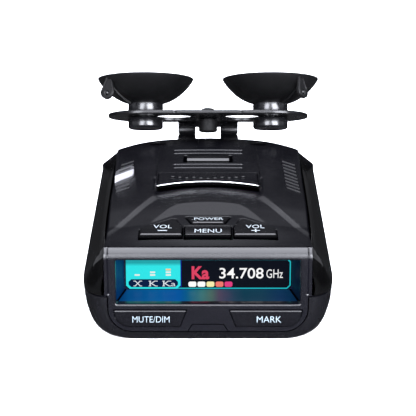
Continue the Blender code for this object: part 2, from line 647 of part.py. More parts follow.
def build_trim():
    prism("badge_plate", badge_outline(), "z", 31.1, 32.4, "matte_black")
    xs = [-15.2 + 1.52 * i for i in range(21)]
    near = [(x, badge_near(x) - 1.15) for x in xs]
    far = [(x, badge_near(x) - GAP) for x in reversed(xs)]
    prism("chrome_trim", near + far, "z", 31.1, 32.3, "chrome")
    for side, name in ((-1, "grille_left"), (1, "grille_right")):
        build_grille(name, side)
    tab = [(-28.2, -3.4), (-27.2, -1.6), (-23.6, 4.6), (-23.3, 12.0), (-24.3, 13.0),
           (-28.0, 7.8), (-28.5, 5.6)]
    prism("grille_tab", tab, "z", 31.0, 31.4, "satin_silver")


def build_grille(name, side):
    """A vent insert: a plate with nine slanted ribs that stand up between shallow slots."""
    grille = grille_solid(name, side, -0.05, 28.2, 29.2)
    inner, outer = 24.2 * side, 27.6 * side
    for i in range(9):
        y = 23.6 - 3.63 * i
        rib = prism(f"{name}_rib_{i}",
                    [(inner, y - 0.8), (outer, y - 0.8 - 2.8), (outer, y + 0.8 - 2.8),
                     (inner, y + 0.8)], "z", 29.0, 30.6, "matte_black")
        combine(grille, rib, "UNION")
    return grille


# ---------------------------------------------------------------- bracket

def plate_frame(x, s, h=0.0):
    """A point on the tilted plate: s from the bend towards the display, h above its middle."""
    c, k = math.cos(PLATE_TILT), math.sin(PLATE_TILT)
    y0 = BEND_Y + BEND_R * k
    z0 = TONGUE_Z + BEND_R + BEND_R * c
    return (x, y0 - s * c + h * k, z0 + s * k + h * c)


def plate_matrix(x, s):
    """Placement with +Z along the plate's upper normal and +X unchanged."""
    c, k = math.cos(PLATE_TILT), math.sin(PLATE_TILT)
    p = plate_frame(x, s)
    return Matrix(((1, 0, 0, p[0]), (0, c, k, p[1]), (0, -k, c, p[2]), (0, 0, 0, 1)))


def plate_prism(name, outline, low, high, finish="bracket_steel"):
    """An outline of (x, s) points as a plate between two heights along its normal."""
    return make(name, skin([[plate_frame(x, s, h) for x, s in outline] for h in (low, high)]),
                finish)


def folded_strip(name, inner, outer, middle):
    """A strip of steel between two x values that follows a path of (y, z) points."""
    rings = []
    for i, p in enumerate(middle):
        a, b = middle[max(i - 1, 0)], middle[min(i + 1, len(middle) - 1)]
        d = (Vector(b) - Vector(a)).normalized()
        n = Vector((-d.y, d.x)) * STEEL_T / 2
        y, z = p
        rings.append([(inner, y - n.x, z - n.y), (outer, y - n.x, z - n.y),
                      (outer, y + n.x, z + n.y), (inner, y + n.x, z + n.y)])
    return make(name, skin(rings), "bracket_steel")


def build_bracket():
    """One folded steel piece: two prongs, a hairpin bend and a plate with two keyholes."""
    half = STEEL_T / 2
    right = arc((SEAT_X, PLATE_R), PLATE_R, -90, 90, 14)
    bracket = plate_prism("bracket", right + mirrored(right), -half, half)
    turn = arc((BEND_Y, TONGUE_Z + BEND_R), BEND_R, -90, 90 - math.degrees(PLATE_TILT), 8)
    ending = [plate_frame(0, 2.0)[1:]]
    middle = [(TONGUE_IN, TONGUE_Z)] + turn + ending
    combine(bracket, folded_strip("tongue", -PRONG_OUT, PRONG_OUT, middle), "UNION")
    combine(bracket, box("prong_gap", (-PRONG_IN, TONGUE_IN - 1.0, TONGUE_Z - 3.0),
                         (PRONG_IN, BEND_Y + 6.0, TONGUE_Z + BEND_R), "bracket_steel"))
    for side in (-1, 1):
        notch = circle(0.7, 8, (PRONG_OUT * side, BEND_Y + 1.8))
        combine(bracket, prism(f"bend_notch_{side}", notch, "z", TONGUE_Z - 2, TONGUE_Z + 2.4,
                               "bracket_steel"))
        edge = circle(0.6, 8, (11.2 * side, PLATE_DEPTH))
        combine(bracket, plate_prism(f"edge_notch_{side}", edge, -2, 2))
        big = circle(KEYHOLE_R, 32, (KEYHOLE_X * side, PLATE_R))
        combine(bracket, plate_prism(f"keyhole_{side}", big, -2, 2))
        slot = arc((SEAT_X, PLATE_R), SEAT_R, -90, 90, 12)
        slot += [(KEYHOLE_X, PLATE_R + SEAT_R), (KEYHOLE_X, PLATE_R - SEAT_R)]
        combine(bracket, plate_prism(f"seat_{side}", slot if side > 0 else mirrored(slot),
                                     -2, 2))
    bore = circle(2.3, 16, (0.0, BUMPER_S))
    combine(bracket, plate_prism("bumper_bore", bore, -2, 2))
    return bracket


def build_cup(name, side):
    """A suction cup: a bowl on a grooved neck that hangs in the plate's keyhole."""
    groove = STEEL_T / 2 + GAP
    profile = [(NECK_R - 1.4, NECK_LOW), (NECK_R - 0.3, NECK_LOW + 0.4),
               (NECK_R, NECK_LOW + 1.0), (NECK_R, -groove), (GROOVE_R, -groove),
               (GROOVE_R, groove), (NECK_R, groove), (NECK_R, NECK_HIGH),
               (8.6, 5.4), (11.4, 7.2), (13.8, 9.4), (15.6, 11.4), (CUP_R, CUP_H),
               (CUP_R - 0.3, CUP_H + 0.2), (14.4, 11.7), (12.0, 9.9), (8.6, 8.2),
               (4.6, 7.0), (0.6, 6.6)]
    cup = turned(name, profile, "rubber_black", 40, plate_matrix(SEAT_X * side, PLATE_R))
    lobe = arc((0.0, 0.0), 2.4, 180, 360, 8) + [(3.0, 5.6), (-3.0, 5.6)]
    rings = [[(x, y, z) for x, y in lobe] for z in (-0.55, 0.55)]
    bm = skin(rings)
    lean = (Matrix.Rotation(math.radians(50.0 * side), 4, "Z") @ Matrix.Translation((0, -16.2, 6.2))
            @ Matrix.Rotation(math.radians(78.0), 4, "X"))
    bmesh.ops.transform(bm, matrix=plate_matrix(SEAT_X * side, PLATE_R) @ lean,
                        verts=bm.verts[:])
    combine(cup, make(f"{name}_tab", bm, "rubber_black"), "UNION")
    return cup


def build_bumper():
    groove = STEEL_T / 2 + GAP
    dome = [(3.3, 1.3), (2.9, 2.2), (2.2, 2.9), (1.2, 3.3), (0.4, 3.4)]
    profile = [(2.8, -4.4), (3.2, -4.0), (3.2, -groove), (2.0, -groove), (2.0, groove),
               (3.3, groove)] + dome
    turned("bumper", profile, "rubber_black", 24, plate_matrix(0.0, BUMPER_S))


def main():
    for obj in list(bpy.data.objects):
        bpy.data.objects.remove(obj)
    build_lower_cover()
    build_upper_cover()
    build_side_panel(-1, "side_panel_left")
    build_side_panel(1, "side_panel_right")
    window_band("front_window")
    build_bezel()
    build_shroud()
    build_keys()
    build_release()
    build_electronics()
    build_screws()
    build_trim()
    build_bracket()
    build_cup("suction_cup_left", -1)
    build_cup("suction_cup_right", 1)
    build_bumper()


main()
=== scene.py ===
"""Looks for the windscreen radar detector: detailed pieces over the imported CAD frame.

Pieces are written in millimetres in the row's frame: +Z up, the display faces -Y, the antenna
end faces +Y. make() turns them to metres.
"""

import json
import math

import bmesh
import bpy
import numpy as np
from mathutils import Matrix, Vector
from mathutils.geometry import delaunay_2d_cdt

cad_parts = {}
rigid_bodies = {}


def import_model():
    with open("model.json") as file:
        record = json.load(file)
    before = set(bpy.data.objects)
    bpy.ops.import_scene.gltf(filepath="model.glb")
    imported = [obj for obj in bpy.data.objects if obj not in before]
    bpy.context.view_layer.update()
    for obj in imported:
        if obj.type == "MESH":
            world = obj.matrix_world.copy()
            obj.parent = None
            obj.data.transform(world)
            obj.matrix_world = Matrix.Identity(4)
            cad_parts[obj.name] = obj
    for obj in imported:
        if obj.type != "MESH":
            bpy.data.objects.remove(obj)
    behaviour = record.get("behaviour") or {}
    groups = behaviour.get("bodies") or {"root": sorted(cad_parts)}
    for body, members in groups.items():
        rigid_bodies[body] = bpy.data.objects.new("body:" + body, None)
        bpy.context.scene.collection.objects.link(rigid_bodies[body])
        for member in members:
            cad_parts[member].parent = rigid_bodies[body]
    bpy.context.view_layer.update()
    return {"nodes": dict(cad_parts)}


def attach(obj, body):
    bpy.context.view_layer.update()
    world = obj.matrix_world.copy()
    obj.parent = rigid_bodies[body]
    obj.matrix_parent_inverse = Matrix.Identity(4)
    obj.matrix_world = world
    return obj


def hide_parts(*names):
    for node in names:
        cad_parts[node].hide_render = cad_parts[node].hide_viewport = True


MM = 0.001
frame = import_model()


# ---- materials

def srgb(*values):
    """A linear colour from 0-255 display values."""
    return tuple(((v / 255 + 0.055) / 1.055) ** 2.4 if v > 10 else v / 255 / 12.92
                 for v in values)


def rgba(colour, by=1.0):
    return (*(c * by for c in colour), 1.0)


def fill(tree, target, values):
    """Give a node its inputs: a plain value is set, another node's output is linked."""
    for key, value in values.items():
        if isinstance(value, bpy.types.NodeSocket):
            tree.links.new(value, target.inputs[key])
        else:
            target.inputs[key].default_value = value
    return target


def node(tree, kind, values=None):
    return fill(tree, tree.nodes.new("ShaderNode" + kind), values or {})


def position(tree):
    return node(tree, "TexCoord").outputs["Object"]


def axis(tree, letter):
    return node(tree, "SeparateXYZ", {"Vector": position(tree)}).outputs[letter]


def noise(tree, size_mm, detail=2.0):
    values = {"Scale": 1.0 / (size_mm * MM), "Detail": detail, "Vector": position(tree)}
    return node(tree, "TexNoise", values).outputs["Fac"]


def mapped(tree, value, start, end, low=0.0, high=1.0):
    """The value's range from start to end, stretched to run from low to high."""
    return node(tree, "MapRange", {"From Min": start, "From Max": end, "To Min": low,
                                   "To Max": high, "Value": value}).outputs["Result"]


def blend(tree, share, a, b):
    mix = tree.nodes.new("ShaderNodeMix")
    mix.data_type = "RGBA"
    return fill(tree, mix, {"Factor": share, "A": a, "B": b}).outputs["Result"]


def colour_ramp(tree, share, stops):
    made = node(tree, "ValToRGB", {"Fac": share})
    bar = made.color_ramp
    for i, (at, colour) in enumerate(stops):
        stop = bar.elements[i] if i < 2 else bar.elements.new(at)
        stop.position, stop.color = at, colour
    return made.outputs["Color"]


def fresh(name):
    """A new material, its node tree and its shader."""
    made = bpy.data.materials.new(name)
    made.use_nodes = True
    return made, made.node_tree, made.node_tree.nodes["Principled BSDF"]


BLOTCH_MM = 6.0                   # size of the patches of uneven gloss
GRAIN_DEPTH = 0.04                # depth of the moulded grain
MOSTLY = (0.3, 0.7)               # the range that most of a noise falls in
DOT_MM = 0.35                     # the fine dots of a lit panel


def finish(name, colour, roughness, metallic=0.0, grain=0.0, grain_mm=0.3,
           mottle=0.08, rough_spread=0.06, specular=0.5):
    """A material with a moulded grain, uneven gloss and slight colour drift."""
    made, tree, shader = fresh(name)
    fine = noise(tree, grain_mm)
    fill(tree, shader, {
        "Metallic": metallic, "Specular IOR Level": specular,
        "Roughness": mapped(tree, noise(tree, BLOTCH_MM, 3.0), *MOSTLY,
                            roughness - rough_spread, roughness + rough_spread),
        "Base Color": blend(tree, mapped(tree, fine, *MOSTLY), rgba(colour, 1 - mottle),
                            rgba(colour, 1 + mottle))})
    if grain:
        bump = node(tree, "Bump", {"Strength": grain, "Distance": GRAIN_DEPTH * MM,
                                   "Height": fine})
        fill(tree, shader, {"Normal": bump.outputs["Normal"]})
    return made


def glow(name, colour, top_shade=None):
    """A lit part of the display, with the fine dots of the panel; the optional last argument
    paints shade over its upper part, from a low to a high height towards a darker colour.
    """
    made, tree, shader = fresh(name)
    light = blend(tree, noise(tree, DOT_MM), rgba(colour, 0.88), rgba(colour))
    if top_shade:
        low, high, dark = top_shade
        light = blend(tree, mapped(tree, axis(tree, "Z"), low * MM, high * MM), light,
                      rgba(dark))
    fill(tree, shader, {"Base Color": rgba(colour, 0.01), "Roughness": 0.25,
                        "Specular IOR Level": 0.1, "Emission Strength": 1.0,
                        "Emission Color": light})
    return made


MATT = finish("matt_cover", (0.0016, 0.0016, 0.0028), 0.25, grain=0.05,
              grain_mm=0.28, mottle=0.16, rough_spread=0.015, specular=0.38)
LOWER = finish("matt_lower", (0.0012, 0.0012, 0.0020), 0.28, grain=0.10,
               grain_mm=0.28, mottle=0.16, rough_spread=0.02)
GLOSS = finish("gloss_panel", (0.0008, 0.0008, 0.0009), 0.12, mottle=0.1,
               rough_spread=0.02, specular=0.42)
BEZEL = finish("bezel_satin", (0.0014, 0.0014, 0.0026), 0.25, grain=0.06,
               grain_mm=0.25, mottle=0.12, rough_spread=0.02)
KEY = finish("key_satin", (0.0010, 0.0010, 0.0018), 0.23, grain=0.05,
             grain_mm=0.24, mottle=0.14, rough_spread=0.02)
RUBBER = finish("cup_rubber", (0.0016, 0.0016, 0.0018), 0.42, grain=0.04,
                grain_mm=0.6, mottle=0.15, rough_spread=0.02, specular=0.25)
SOFT = finish("soft_rubber", (0.0012, 0.0012, 0.0014), 0.60, mottle=0.15,
              specular=0.18)
NECK = finish("neck_rubber", (0.0034, 0.0034, 0.0040), 0.22, grain=0.03,
              grain_mm=0.6, mottle=0.15, rough_spread=0.02)
STEEL = finish("bracket_coat", (0.0016, 0.0016, 0.0020), 0.26, metallic=0.1,
               grain=0.08, grain_mm=0.2, mottle=0.18, rough_spread=0.02, specular=0.36)
# Near black with no gloss: painted shade laid into gaps, grooves and corners.
SHADE_BLACK = finish("painted_gap_shade", (0.0003, 0.0003, 0.0004), 0.9, mottle=0.1,
              specular=0.0)
# Light grey for the upper band of the vent tab: part of a painted highlight on the left vent.
TAB_SHEEN = finish("tab_sheen_grey", (0.08, 0.08, 0.085), 0.30, rough_spread=0.03)
# Lighter grey for the louvres: a painted highlight along their edges, on plastic that is the same
# as the cover's.
LOUVRE_SHEEN = finish("vent_louvre_sheen", (0.026, 0.026, 0.028), 0.34, mottle=0.12,
                   rough_spread=0.03)
SCREW = finish("blackened_screw", (0.0025, 0.0025, 0.003), 0.30, metallic=0.1,
               grain=0.2, grain_mm=0.15, mottle=0.2)
PRINT = finish("printed_label", (0.20, 0.225, 0.24), 0.5, mottle=0.05)
FRONT_PRINT = finish("front_label", (0.13, 0.165, 0.185), 0.5, mottle=0.05)
BOARD = finish("solder_mask", (0.015, 0.09, 0.04), 0.4, grain=0.2, grain_mm=0.5, mottle=0.3)
MOULDED = finish("moulded_black", (0.02, 0.02, 0.021), 0.5, grain=0.3, mottle=0.2)
CERAMIC = finish("ceramic", (0.5, 0.43, 0.3), 0.6, grain=0.5, mottle=0.15)
GLASS = finish("panel_glass", (0.004, 0.006, 0.016), 0.12, mottle=0.1)
LENS = finish("tinted_lens", (0.12, 0.01, 0.015), 0.06, mottle=0.1)

# These wear the frame's own materials, each in its own slot.
CHROME, SHEEN_SILVER, WINDOW, TIN, ZINC, FLEX = (bpy.data.materials[name] for name in (
    "chrome", "satin_silver", "ir_window", "tin_plate", "cast_zinc", "copper_flex"))


# ---- mesh building

def linked(name, data):
    """A new object in the scene."""
    obj = bpy.data.objects.new(name, data)
    bpy.context.scene.collection.objects.link(obj)
    return obj


def mesh_of(name, points, faces, *steps):
    """A mesh from points in millimetres, each step then working on it in turn."""
    mesh = bpy.data.meshes.new(name)
    mesh.from_pydata([tuple(float(c) * MM for c in p) for p in points], [],
                     [tuple(int(i) for i in f) for f in faces])
    bm = bmesh.new()
    bm.from_mesh(mesh)
    for step in steps:
        step(bm)
    bm.to_mesh(mesh)
    bm.free()
    return mesh


def weld(bm, within=0.002):
    bmesh.ops.remove_doubles(bm, verts=bm.verts[:], dist=within * MM)


def face_out(bm):
    bmesh.ops.recalc_face_normals(bm, faces=bm.faces[:])


def clear_loose(bm):
    bmesh.ops.delete(bm, geom=[v for v in bm.verts if not v.link_faces], context="VERTS")


def open_edges(bm):
    return [e for e in bm.edges if e.is_boundary]


def make(name, points, faces, material, body="housing", replaces=(), angle=35.0):
    """A piece from points in millimetres that rides on a body and replaces CAD nodes."""
    mesh = mesh_of(name, points, faces, weld, face_out)
    return adopt(name, mesh, material, body, replaces, angle)


def adopt(name, mesh, material, body="housing", replaces=(), angle=35.0):
    mesh.materials.clear()
    mesh.materials.append(material)
    mesh.shade_smooth()
    mesh.set_sharp_from_angle(angle=math.radians(angle))
    obj = linked(name, mesh)
    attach(obj, body)
    if replaces:
        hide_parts(*replaces)
    return obj


def loft(rings, caps=(True, True)):
    """Points and faces through rings of equal length."""
    count = len(rings[0])
    points = [p for ring in rings for p in ring]
    faces = []
    for r in range(len(rings) - 1):
        for i in range(count):
            a, b = r * count + i, r * count + (i + 1) % count
            faces.append((a, b, b + count, a + count))
    if caps[0]:
        faces.append(tuple(range(count))[::-1])
    if caps[1]:
        faces.append(tuple(range(len(points) - count, len(points))))
    return points, faces


def join(*parts):
    """Several (points, faces) as one."""
    points, faces = [], []
    for p, f in parts:
        base = len(points)
        points += list(p)
        faces += [tuple(i + base for i in face) for face in f]
    return points, faces


def moved(part, matrix):
    points, faces = part
    return [tuple(matrix @ Vector(p)) for p in points], faces


def arc(centre, radius, start, end, steps):
    angles = [math.radians(start + (end - start) * i / steps) for i in range(steps + 1)]
    return [(centre[0] + radius * math.cos(a), centre[1] + radius * math.sin(a)) for a in angles]


def circle(radius, steps, centre=(0.0, 0.0)):
    return arc(centre, radius, 0, 360 - 360 / steps, steps - 1)


def mirrored(outline):
    return [(-x, y) for x, y in reversed(outline)]


def grown(outline, by):
    """The outline with each edge moved to its right, which is outwards if it turns left."""
    made, count = [], len(outline)
    for i in range(count):
        p, q, r = (Vector(outline[(i + k) % count]) for k in (-1, 0, 1))
        d0, d1 = (q - p).normalized(), (r - q).normalized()
        n0, n1 = Vector((d0.y, -d0.x)), Vector((d1.y, -d1.x))
        bisector = (n0 + n1).normalized()
        made.append(tuple(q + bisector * by / max(bisector.dot(n0), 0.35)))
    return made


def rounded(outline, radius, steps=4):
    """The outline with its corners rounded, each by radius or by its own value."""
    radii = radius if isinstance(radius, (list, tuple)) else [radius] * len(outline)
    made, count = [], len(outline)
    for i in range(count):
        p, q, r = (Vector(outline[(i + k) % count]) for k in (-1, 0, 1))
        a, b = (p - q), (r - q)
        half = a.angle(b) / 2
        reach = min(radii[i] / math.tan(half), a.length * 0.45, b.length * 0.45)
        if reach < 1e-3 or half > 1.5:
            made.append(tuple(q))
            continue
        start, end = q + a.normalized() * reach, q + b.normalized() * reach
        for k in range(steps + 1):
            t = k / steps
            made.append(tuple(start * (1 - t) ** 2 + q * 2 * t * (1 - t) + end * t * t))
    return made


def inside(points, polygon):
    """Which of an array of points lie in a polygon."""
    x, y = points[:, 0], points[:, 1]
    found = np.zeros(len(points), bool)
    poly = np.asarray(polygon, float)
    for (x0, y0), (x1, y1) in zip(poly, np.roll(poly, -1, axis=0)):
        crosses = (y0 > y) != (y1 > y)
        with np.errstate(divide="ignore", invalid="ignore"):
            at = x0 + (y - y0) * (x1 - x0) / (y1 - y0 if y1 != y0 else 1e-12)
        found ^= crosses & (x < at)
    return found


def distance(points, path, closed=True):
    """Distance from each point to a path."""
    p = np.asarray(points, float)
    best = np.full(len(p), 1e9)
    poly = np.asarray(path, float)
    ends = np.roll(poly, -1, axis=0) if closed else poly[1:]
    for a, b in zip(poly, ends):
        d = b - a
        t = np.clip(((p - a) @ d) / max(d @ d, 1e-12), 0, 1)
        best = np.minimum(best, np.hypot(*(p - a - t[:, None] * d).T))
    return best


def ramp(value, low, high):
    """0 below low, 1 above high, and a smooth rise between."""
    t = np.clip((value - low) / (high - low), 0, 1)
    return t * t * (3 - 2 * t)


def resampled(path, step, closed):
    """The path with no segment longer than step."""
    made = []
    ends = list(path[1:]) + ([path[0]] if closed else [])
    for (x0, y0), (x1, y1) in zip(path, ends):
        parts = max(1, math.ceil(math.hypot(x1 - x0, y1 - y0) / step))
        made += [(x0 + (x1 - x0) * k / parts, y0 + (y1 - y0) * k / parts) for k in range(parts)]
    return made if closed else made + [path[-1]]


def triangulate(loops, lines=(), points=(), step=None):
    """Triangles inside the first loop and outside the others, with edges along the lines."""
    coords, edges = [], []

    def add(path, closed):
        start, count = len(coords), len(path)
        coords.extend(Vector((float(x), float(y))) for x, y in path)
        edges.extend((start + i, start + (i + 1) % count)
                     for i in range(count if closed else count - 1))

    for loop in loops:
        add(resampled(loop, step, True) if step else loop, True)
    for line in lines:
        add(resampled(line, step, False) if step else line, False)
    coords.extend(Vector((float(x), float(y))) for x, y in points)
    verts, _, faces, *_ = delaunay_2d_cdt(coords, edges, [], 0, 1e-5)
    xy = np.array([(v.x, v.y) for v in verts])
    tris = np.array(faces)
    a, b, c = (xy[tris[:, k]] for k in range(3))
    area = (b[:, 0] - a[:, 0]) * (c[:, 1] - a[:, 1]) - (b[:, 1] - a[:, 1]) * (c[:, 0] - a[:, 0])
    centre = (a + b + c) / 3
    keep = inside(centre, loops[0]) & (np.abs(area) > 1e-9)
    for hole in loops[1:]:
        keep &= ~inside(centre, hole)
    tris[area < 0] = tris[area < 0][:, ::-1]
    return xy, tris[keep]


def slab(outlines, profile, place):
    """A prism with holes and worked edges: profile is (grow, height) pairs from its bottom up,
    and place(x, y, height) gives the point in space. Holes turn right, the outside turns left."""
    points, faces = [], []
    for outline in outlines:
        part = loft([[place(x, y, h) for x, y in grown(outline, g)] for g, h in profile],
                    caps=(False, False))
        points, faces = join((points, faces), part)
    for end in (0, -1):
        grow, h = profile[end]
        xy, tris = triangulate([grown(outline, grow) for outline in outlines])
        tri = [tuple(t) if end else tuple(t)[::-1] for t in tris]
        points, faces = join((points, faces), ([place(x, y, h) for x, y in xy], tri))
    return points, faces


def edge_round(radius, low, high, steps=3):
    """A profile for slab: straight sides with a rounded top edge."""
    made = [(0.0, low)]
    for i in range(steps + 1):
        a = math.pi / 2 * i / steps
        made.append((-radius * (1 - math.cos(a)), high - radius * (1 - math.sin(a))))
    return made


def turned(profile, steps=64):
    """A surface of revolution about +Z; a radius of nearly 0 closes an end."""
    rings = [[(r * math.cos(2 * math.pi * i / steps), r * math.sin(2 * math.pi * i / steps), h)
              for i in range(steps)] for r, h in profile]
    return loft(rings)


def letters(name, text, box, place, material, body, bold):
    """Flat lettering fitted to a box (left, right, low, high), set in space by place(x, y)."""
    left, right, low, high = box
    curve = bpy.data.curves.new(name, "FONT")
    curve.body = text
    curve.size = 1.0
    curve.offset = bold
    curve.resolution_u = 4
    probe = linked(name + "_probe", curve)
    mesh = bpy.data.meshes.new_from_object(probe.evaluated_get(
        bpy.context.evaluated_depsgraph_get()))
    bpy.data.objects.remove(probe)
    bpy.data.curves.remove(curve)
    flat = np.array([v.co[:2] for v in mesh.vertices])
    lo, hi = flat.min(0), flat.max(0)
    scale = np.array([right - left, high - low]) / (hi - lo)
    for v in mesh.vertices:
        x, y = (np.array(v.co[:2]) - lo) * scale + (left, low)
        v.co = [c * MM for c in place(float(x), float(y))]
    return adopt(name, mesh, material, body)


# ---- shared dimensions

SIDES = ((-1, "left"), (1, "right"))
HALF_L, HALF_W = 57.0, 35.0
SEAM = 0.15                       # half of the fine gap shown between neighbours
PARTING_Z = 13.0
BEZEL_W, BEZEL_T = 28.4, 2.7
BEZEL_FOOT_W, BEZEL_LOW, BEZEL_CORNER = 27.5, 2.7, 6.8
SHOULDER_Y, CORNER_Y, NOSE_W = 40.0, -44.0, 30.2
TOP_END = HALF_L - 0.6            # where the flat top ends, in front of the nose
SCREEN_W, SCREEN_LOW, SCREEN_HIGH = 25.2, 10.7, 23.3
PANEL_W, PANEL_LOW, PANEL_HIGH = 23.2, 10.9, 20.2

VOLUME_KEY = [(7.2, -48.1), (19.0, -48.1), (19.0, -42.6), (10.2, -34.6), (9.3, -34.9),
              (7.2, -41.6)]
MENU_KEY = [(-6.4, -48.1), (6.4, -48.1), (6.4, -40.6), (-6.4, -40.6)]
VOLUME_HOLE = [(7.2, -49.5), (19.0, -49.5), *VOLUME_KEY[2:]]
MENU_HOLE = [(-6.4, -49.9), (6.4, -49.9), *MENU_KEY[2:]]
POWER_KEY = [(-4.4, -39.4), (4.4, -39.4), (6.3, -33.5), (5.6, -33.0), (-5.6, -33.0),
             (-6.3, -33.5)]
FACE_KEY = [(7.7, 4.3), (20.6, 4.3), *arc((21.4, 8.6), 4.3, -80, -5, 6), (25.8, 9.0),
            (5.9, 9.0)]
RELEASE_W = 6.8
SCREW_SPOT = (16.9, 45.0)


# ---- top cover

def smooth_level(table):
    """A height along y from (y, height) pairs, with its bends eased over a few millimetres."""
    ys, zs = zip(*table)
    return lambda y: sum(np.interp(y + k, ys, zs) for k in (-2.4, -1.2, 0.0, 1.2, 2.4)) / 5


main_level = smooth_level([(-57.0, 26.25), (-54.3, 26.6), (-50.0, 27.2), (-41.0, 28.75),
                           (-26.0, 30.35), (-17.0, 30.7), (10.0, 31.0), (38.0, 31.0),
                           (50.0, 30.6), (57.0, 29.6)])
CREASE = [(16.2, 2.0), (15.9, -12.5), (15.3, -17.7), (26.2, -40.9), (30.0, -49.0)]
FLAP_W, FLAP_FAR = 16.0, 38.8     # half width and far end of the raised platform


def badge_near(x):
    return -7.4 - 3.7 * (np.minimum(np.abs(x), 15.4) / 15.2) ** 2


def facets(a, y):
    """The sunk key plane, the facet that rises behind it, and one rising to each side."""
    level = 28.745 + 0.072 * (y + 31.6)
    behind = 28.745 + 0.208 * (y + 31.6)
    beside = 28.745 + 0.14 * (a - 9.6) + 0.215 * (y + 31.6)
    return np.maximum(level, np.maximum(behind, beside))


def cover_height(x, y):
    """Height of the top cover at arrays of points, before its holes."""
    a = np.abs(x)
    folded = np.column_stack((a, y))
    crown = (0.0029 * a ** 2 * np.clip((y + 55.0) / 16.0, 0, 1)
             * np.clip((50.0 - y) / 45.0, 0.45, 1))
    centre = main_level(y) - crown
    facet = facets(a, y)
    in_keys = (y > -50.6) & (a < 23.5)
    low = np.where(in_keys, np.minimum(centre, facet), centre)
    outer_side = a - np.interp(-y, [-2.0, 12.5, 17.7, 40.9, 49.0], [16.2, 15.9, 15.3, 26.2, 30.0])
    away = distance(folded, CREASE, closed=False) * np.sign(outer_side)
    step = 0.85 * np.interp(y, [-49.0, -41.0, -18.0, 0.0], [0.0, 0.45, 1.0, 1.0])
    raised = np.clip((away + 0.75) / 1.5, 0, 1)
    height = low + step * raised
    far = np.clip((y - 4.0) / 10.0, 0, 1)
    height += (1 - raised) * step * far
    flap = np.where(y > 0, 31.85 + 0.25 * np.clip((38 - y) / 38, 0, 1), 32.15)
    edge = np.minimum.reduce([FLAP_W - a, FLAP_FAR - y,
                              y - badge_near(x) + 0.5 - 3.0 * np.clip(a - 15.0, 0, 1)])
    rise = ramp(edge, -0.25, 0.25)
    return height + (np.maximum(flap, height) - height) * rise


RIDGES = [(10.2, 10.9), (14.6, 11.0), (29.3, 11.2), (33.8, 11.3)]


def cover_at(x, y):
    """Height of the cover at one point."""
    return float(cover_height(np.array([x]), np.array([y]))[0])


def build_ridges():
    """Raised ribs across the flap, steep on the near side and sloping away behind."""
    section = rounded([(-0.40, -0.15), (-0.25, 0.17), (0.05, 0.17), (0.9, -0.15)], 0.08, 3)
    parts = []
    for centre, half in RIDGES:
        rings = []
        for x in np.linspace(-half, half, 49):
            share = min(1.0, (half + 0.02 - abs(x)) / 0.5) ** 0.5
            y = centre - 0.4 * (x / 11.0) ** 2
            z = cover_at(x, y)
            rings.append([(x, y + a * share, z + b * share) for a, b in section])
        parts.append(loft(rings))
    make("flap_ribs", *join(*parts), MATT, "housing", angle=40)


def rims(outline, *steps):
    """Closed lines round an outline, one grown by each step."""
    loops = [grown(outline, by) for by in steps]
    return [loop + loop[:1] for loop in loops]


def rounding(d, radius):
    """How far a rounded lip has dropped at distance d from its edge."""
    t = np.clip(1 - d / radius, 0, 1)
    return radius * (1 - np.sqrt(1 - t * t))


def nose_radius(width, rise):
    return (width ** 2 + rise ** 2) / (2 * rise)


def nose(width, start, end):
    """The right half of the rounded antenna end, from its shoulder to the middle."""
    radius = nose_radius(width, end - start)
    sweep = math.degrees(math.asin(width / radius))
    return arc((0.0, end - radius), radius, 90 - sweep, 90, 20)


def top_edge(y):
    return BEZEL_W + (NOSE_W - BEZEL_W) * (y + HALF_L) / (SHOULDER_Y + HALF_L)


def grille_field(side, grow=0.0):
    inner, outer, slope = 23.6 - grow, 28.0 + grow, 0.82
    near, far = -6.6 - 1.3 * grow, 25.2 + 1.3 * grow
    corners = [(x * side, y - slope * (x - 23.6)) for x, y in
               ((inner, near), (outer, near), (outer, far), (inner, far))]
    return corners if side > 0 else corners[::-1]


def badge_outline(grow=0.0, front=0.0):
    wide, far = 15.2 + grow, 3.6 + grow
    xs = np.linspace(-wide, wide, 25)
    edge = [(float(x), float(badge_near(x)) - front) for x in xs]
    return edge + [(wide, far - 0.8), (wide - 0.8, far), (0.8 - wide, far), (-wide, far - 0.8)]


def cover_boundary():
    near = -HALF_L + BEZEL_T + SEAM
    side = [(top_edge(y) - 0.05, y) for y in np.linspace(near, SHOULDER_Y - 1.0, 40)]
    right = side + nose(NOSE_W, SHOULDER_Y, TOP_END)[:-1]
    across = [(x, near) for x in np.linspace(-BEZEL_W, BEZEL_W, 60)[1:-1]]
    return across + right + [(0.0, TOP_END)] + mirrored(right)


def grid(xs, ys):
    """Points at every crossing of two (start, stop, step) rows."""
    return [(x, y) for x in np.arange(*xs) for y in np.arange(*ys)]


STEP_LINES = (-0.5, -0.25, -0.1, 0.1, 0.25, 0.5)    # mesh lines each side of a step
FOLD_LINES = (-0.12, 0.0, 0.12)                     # and along a fold
HOLE_DEPTH = 2.2


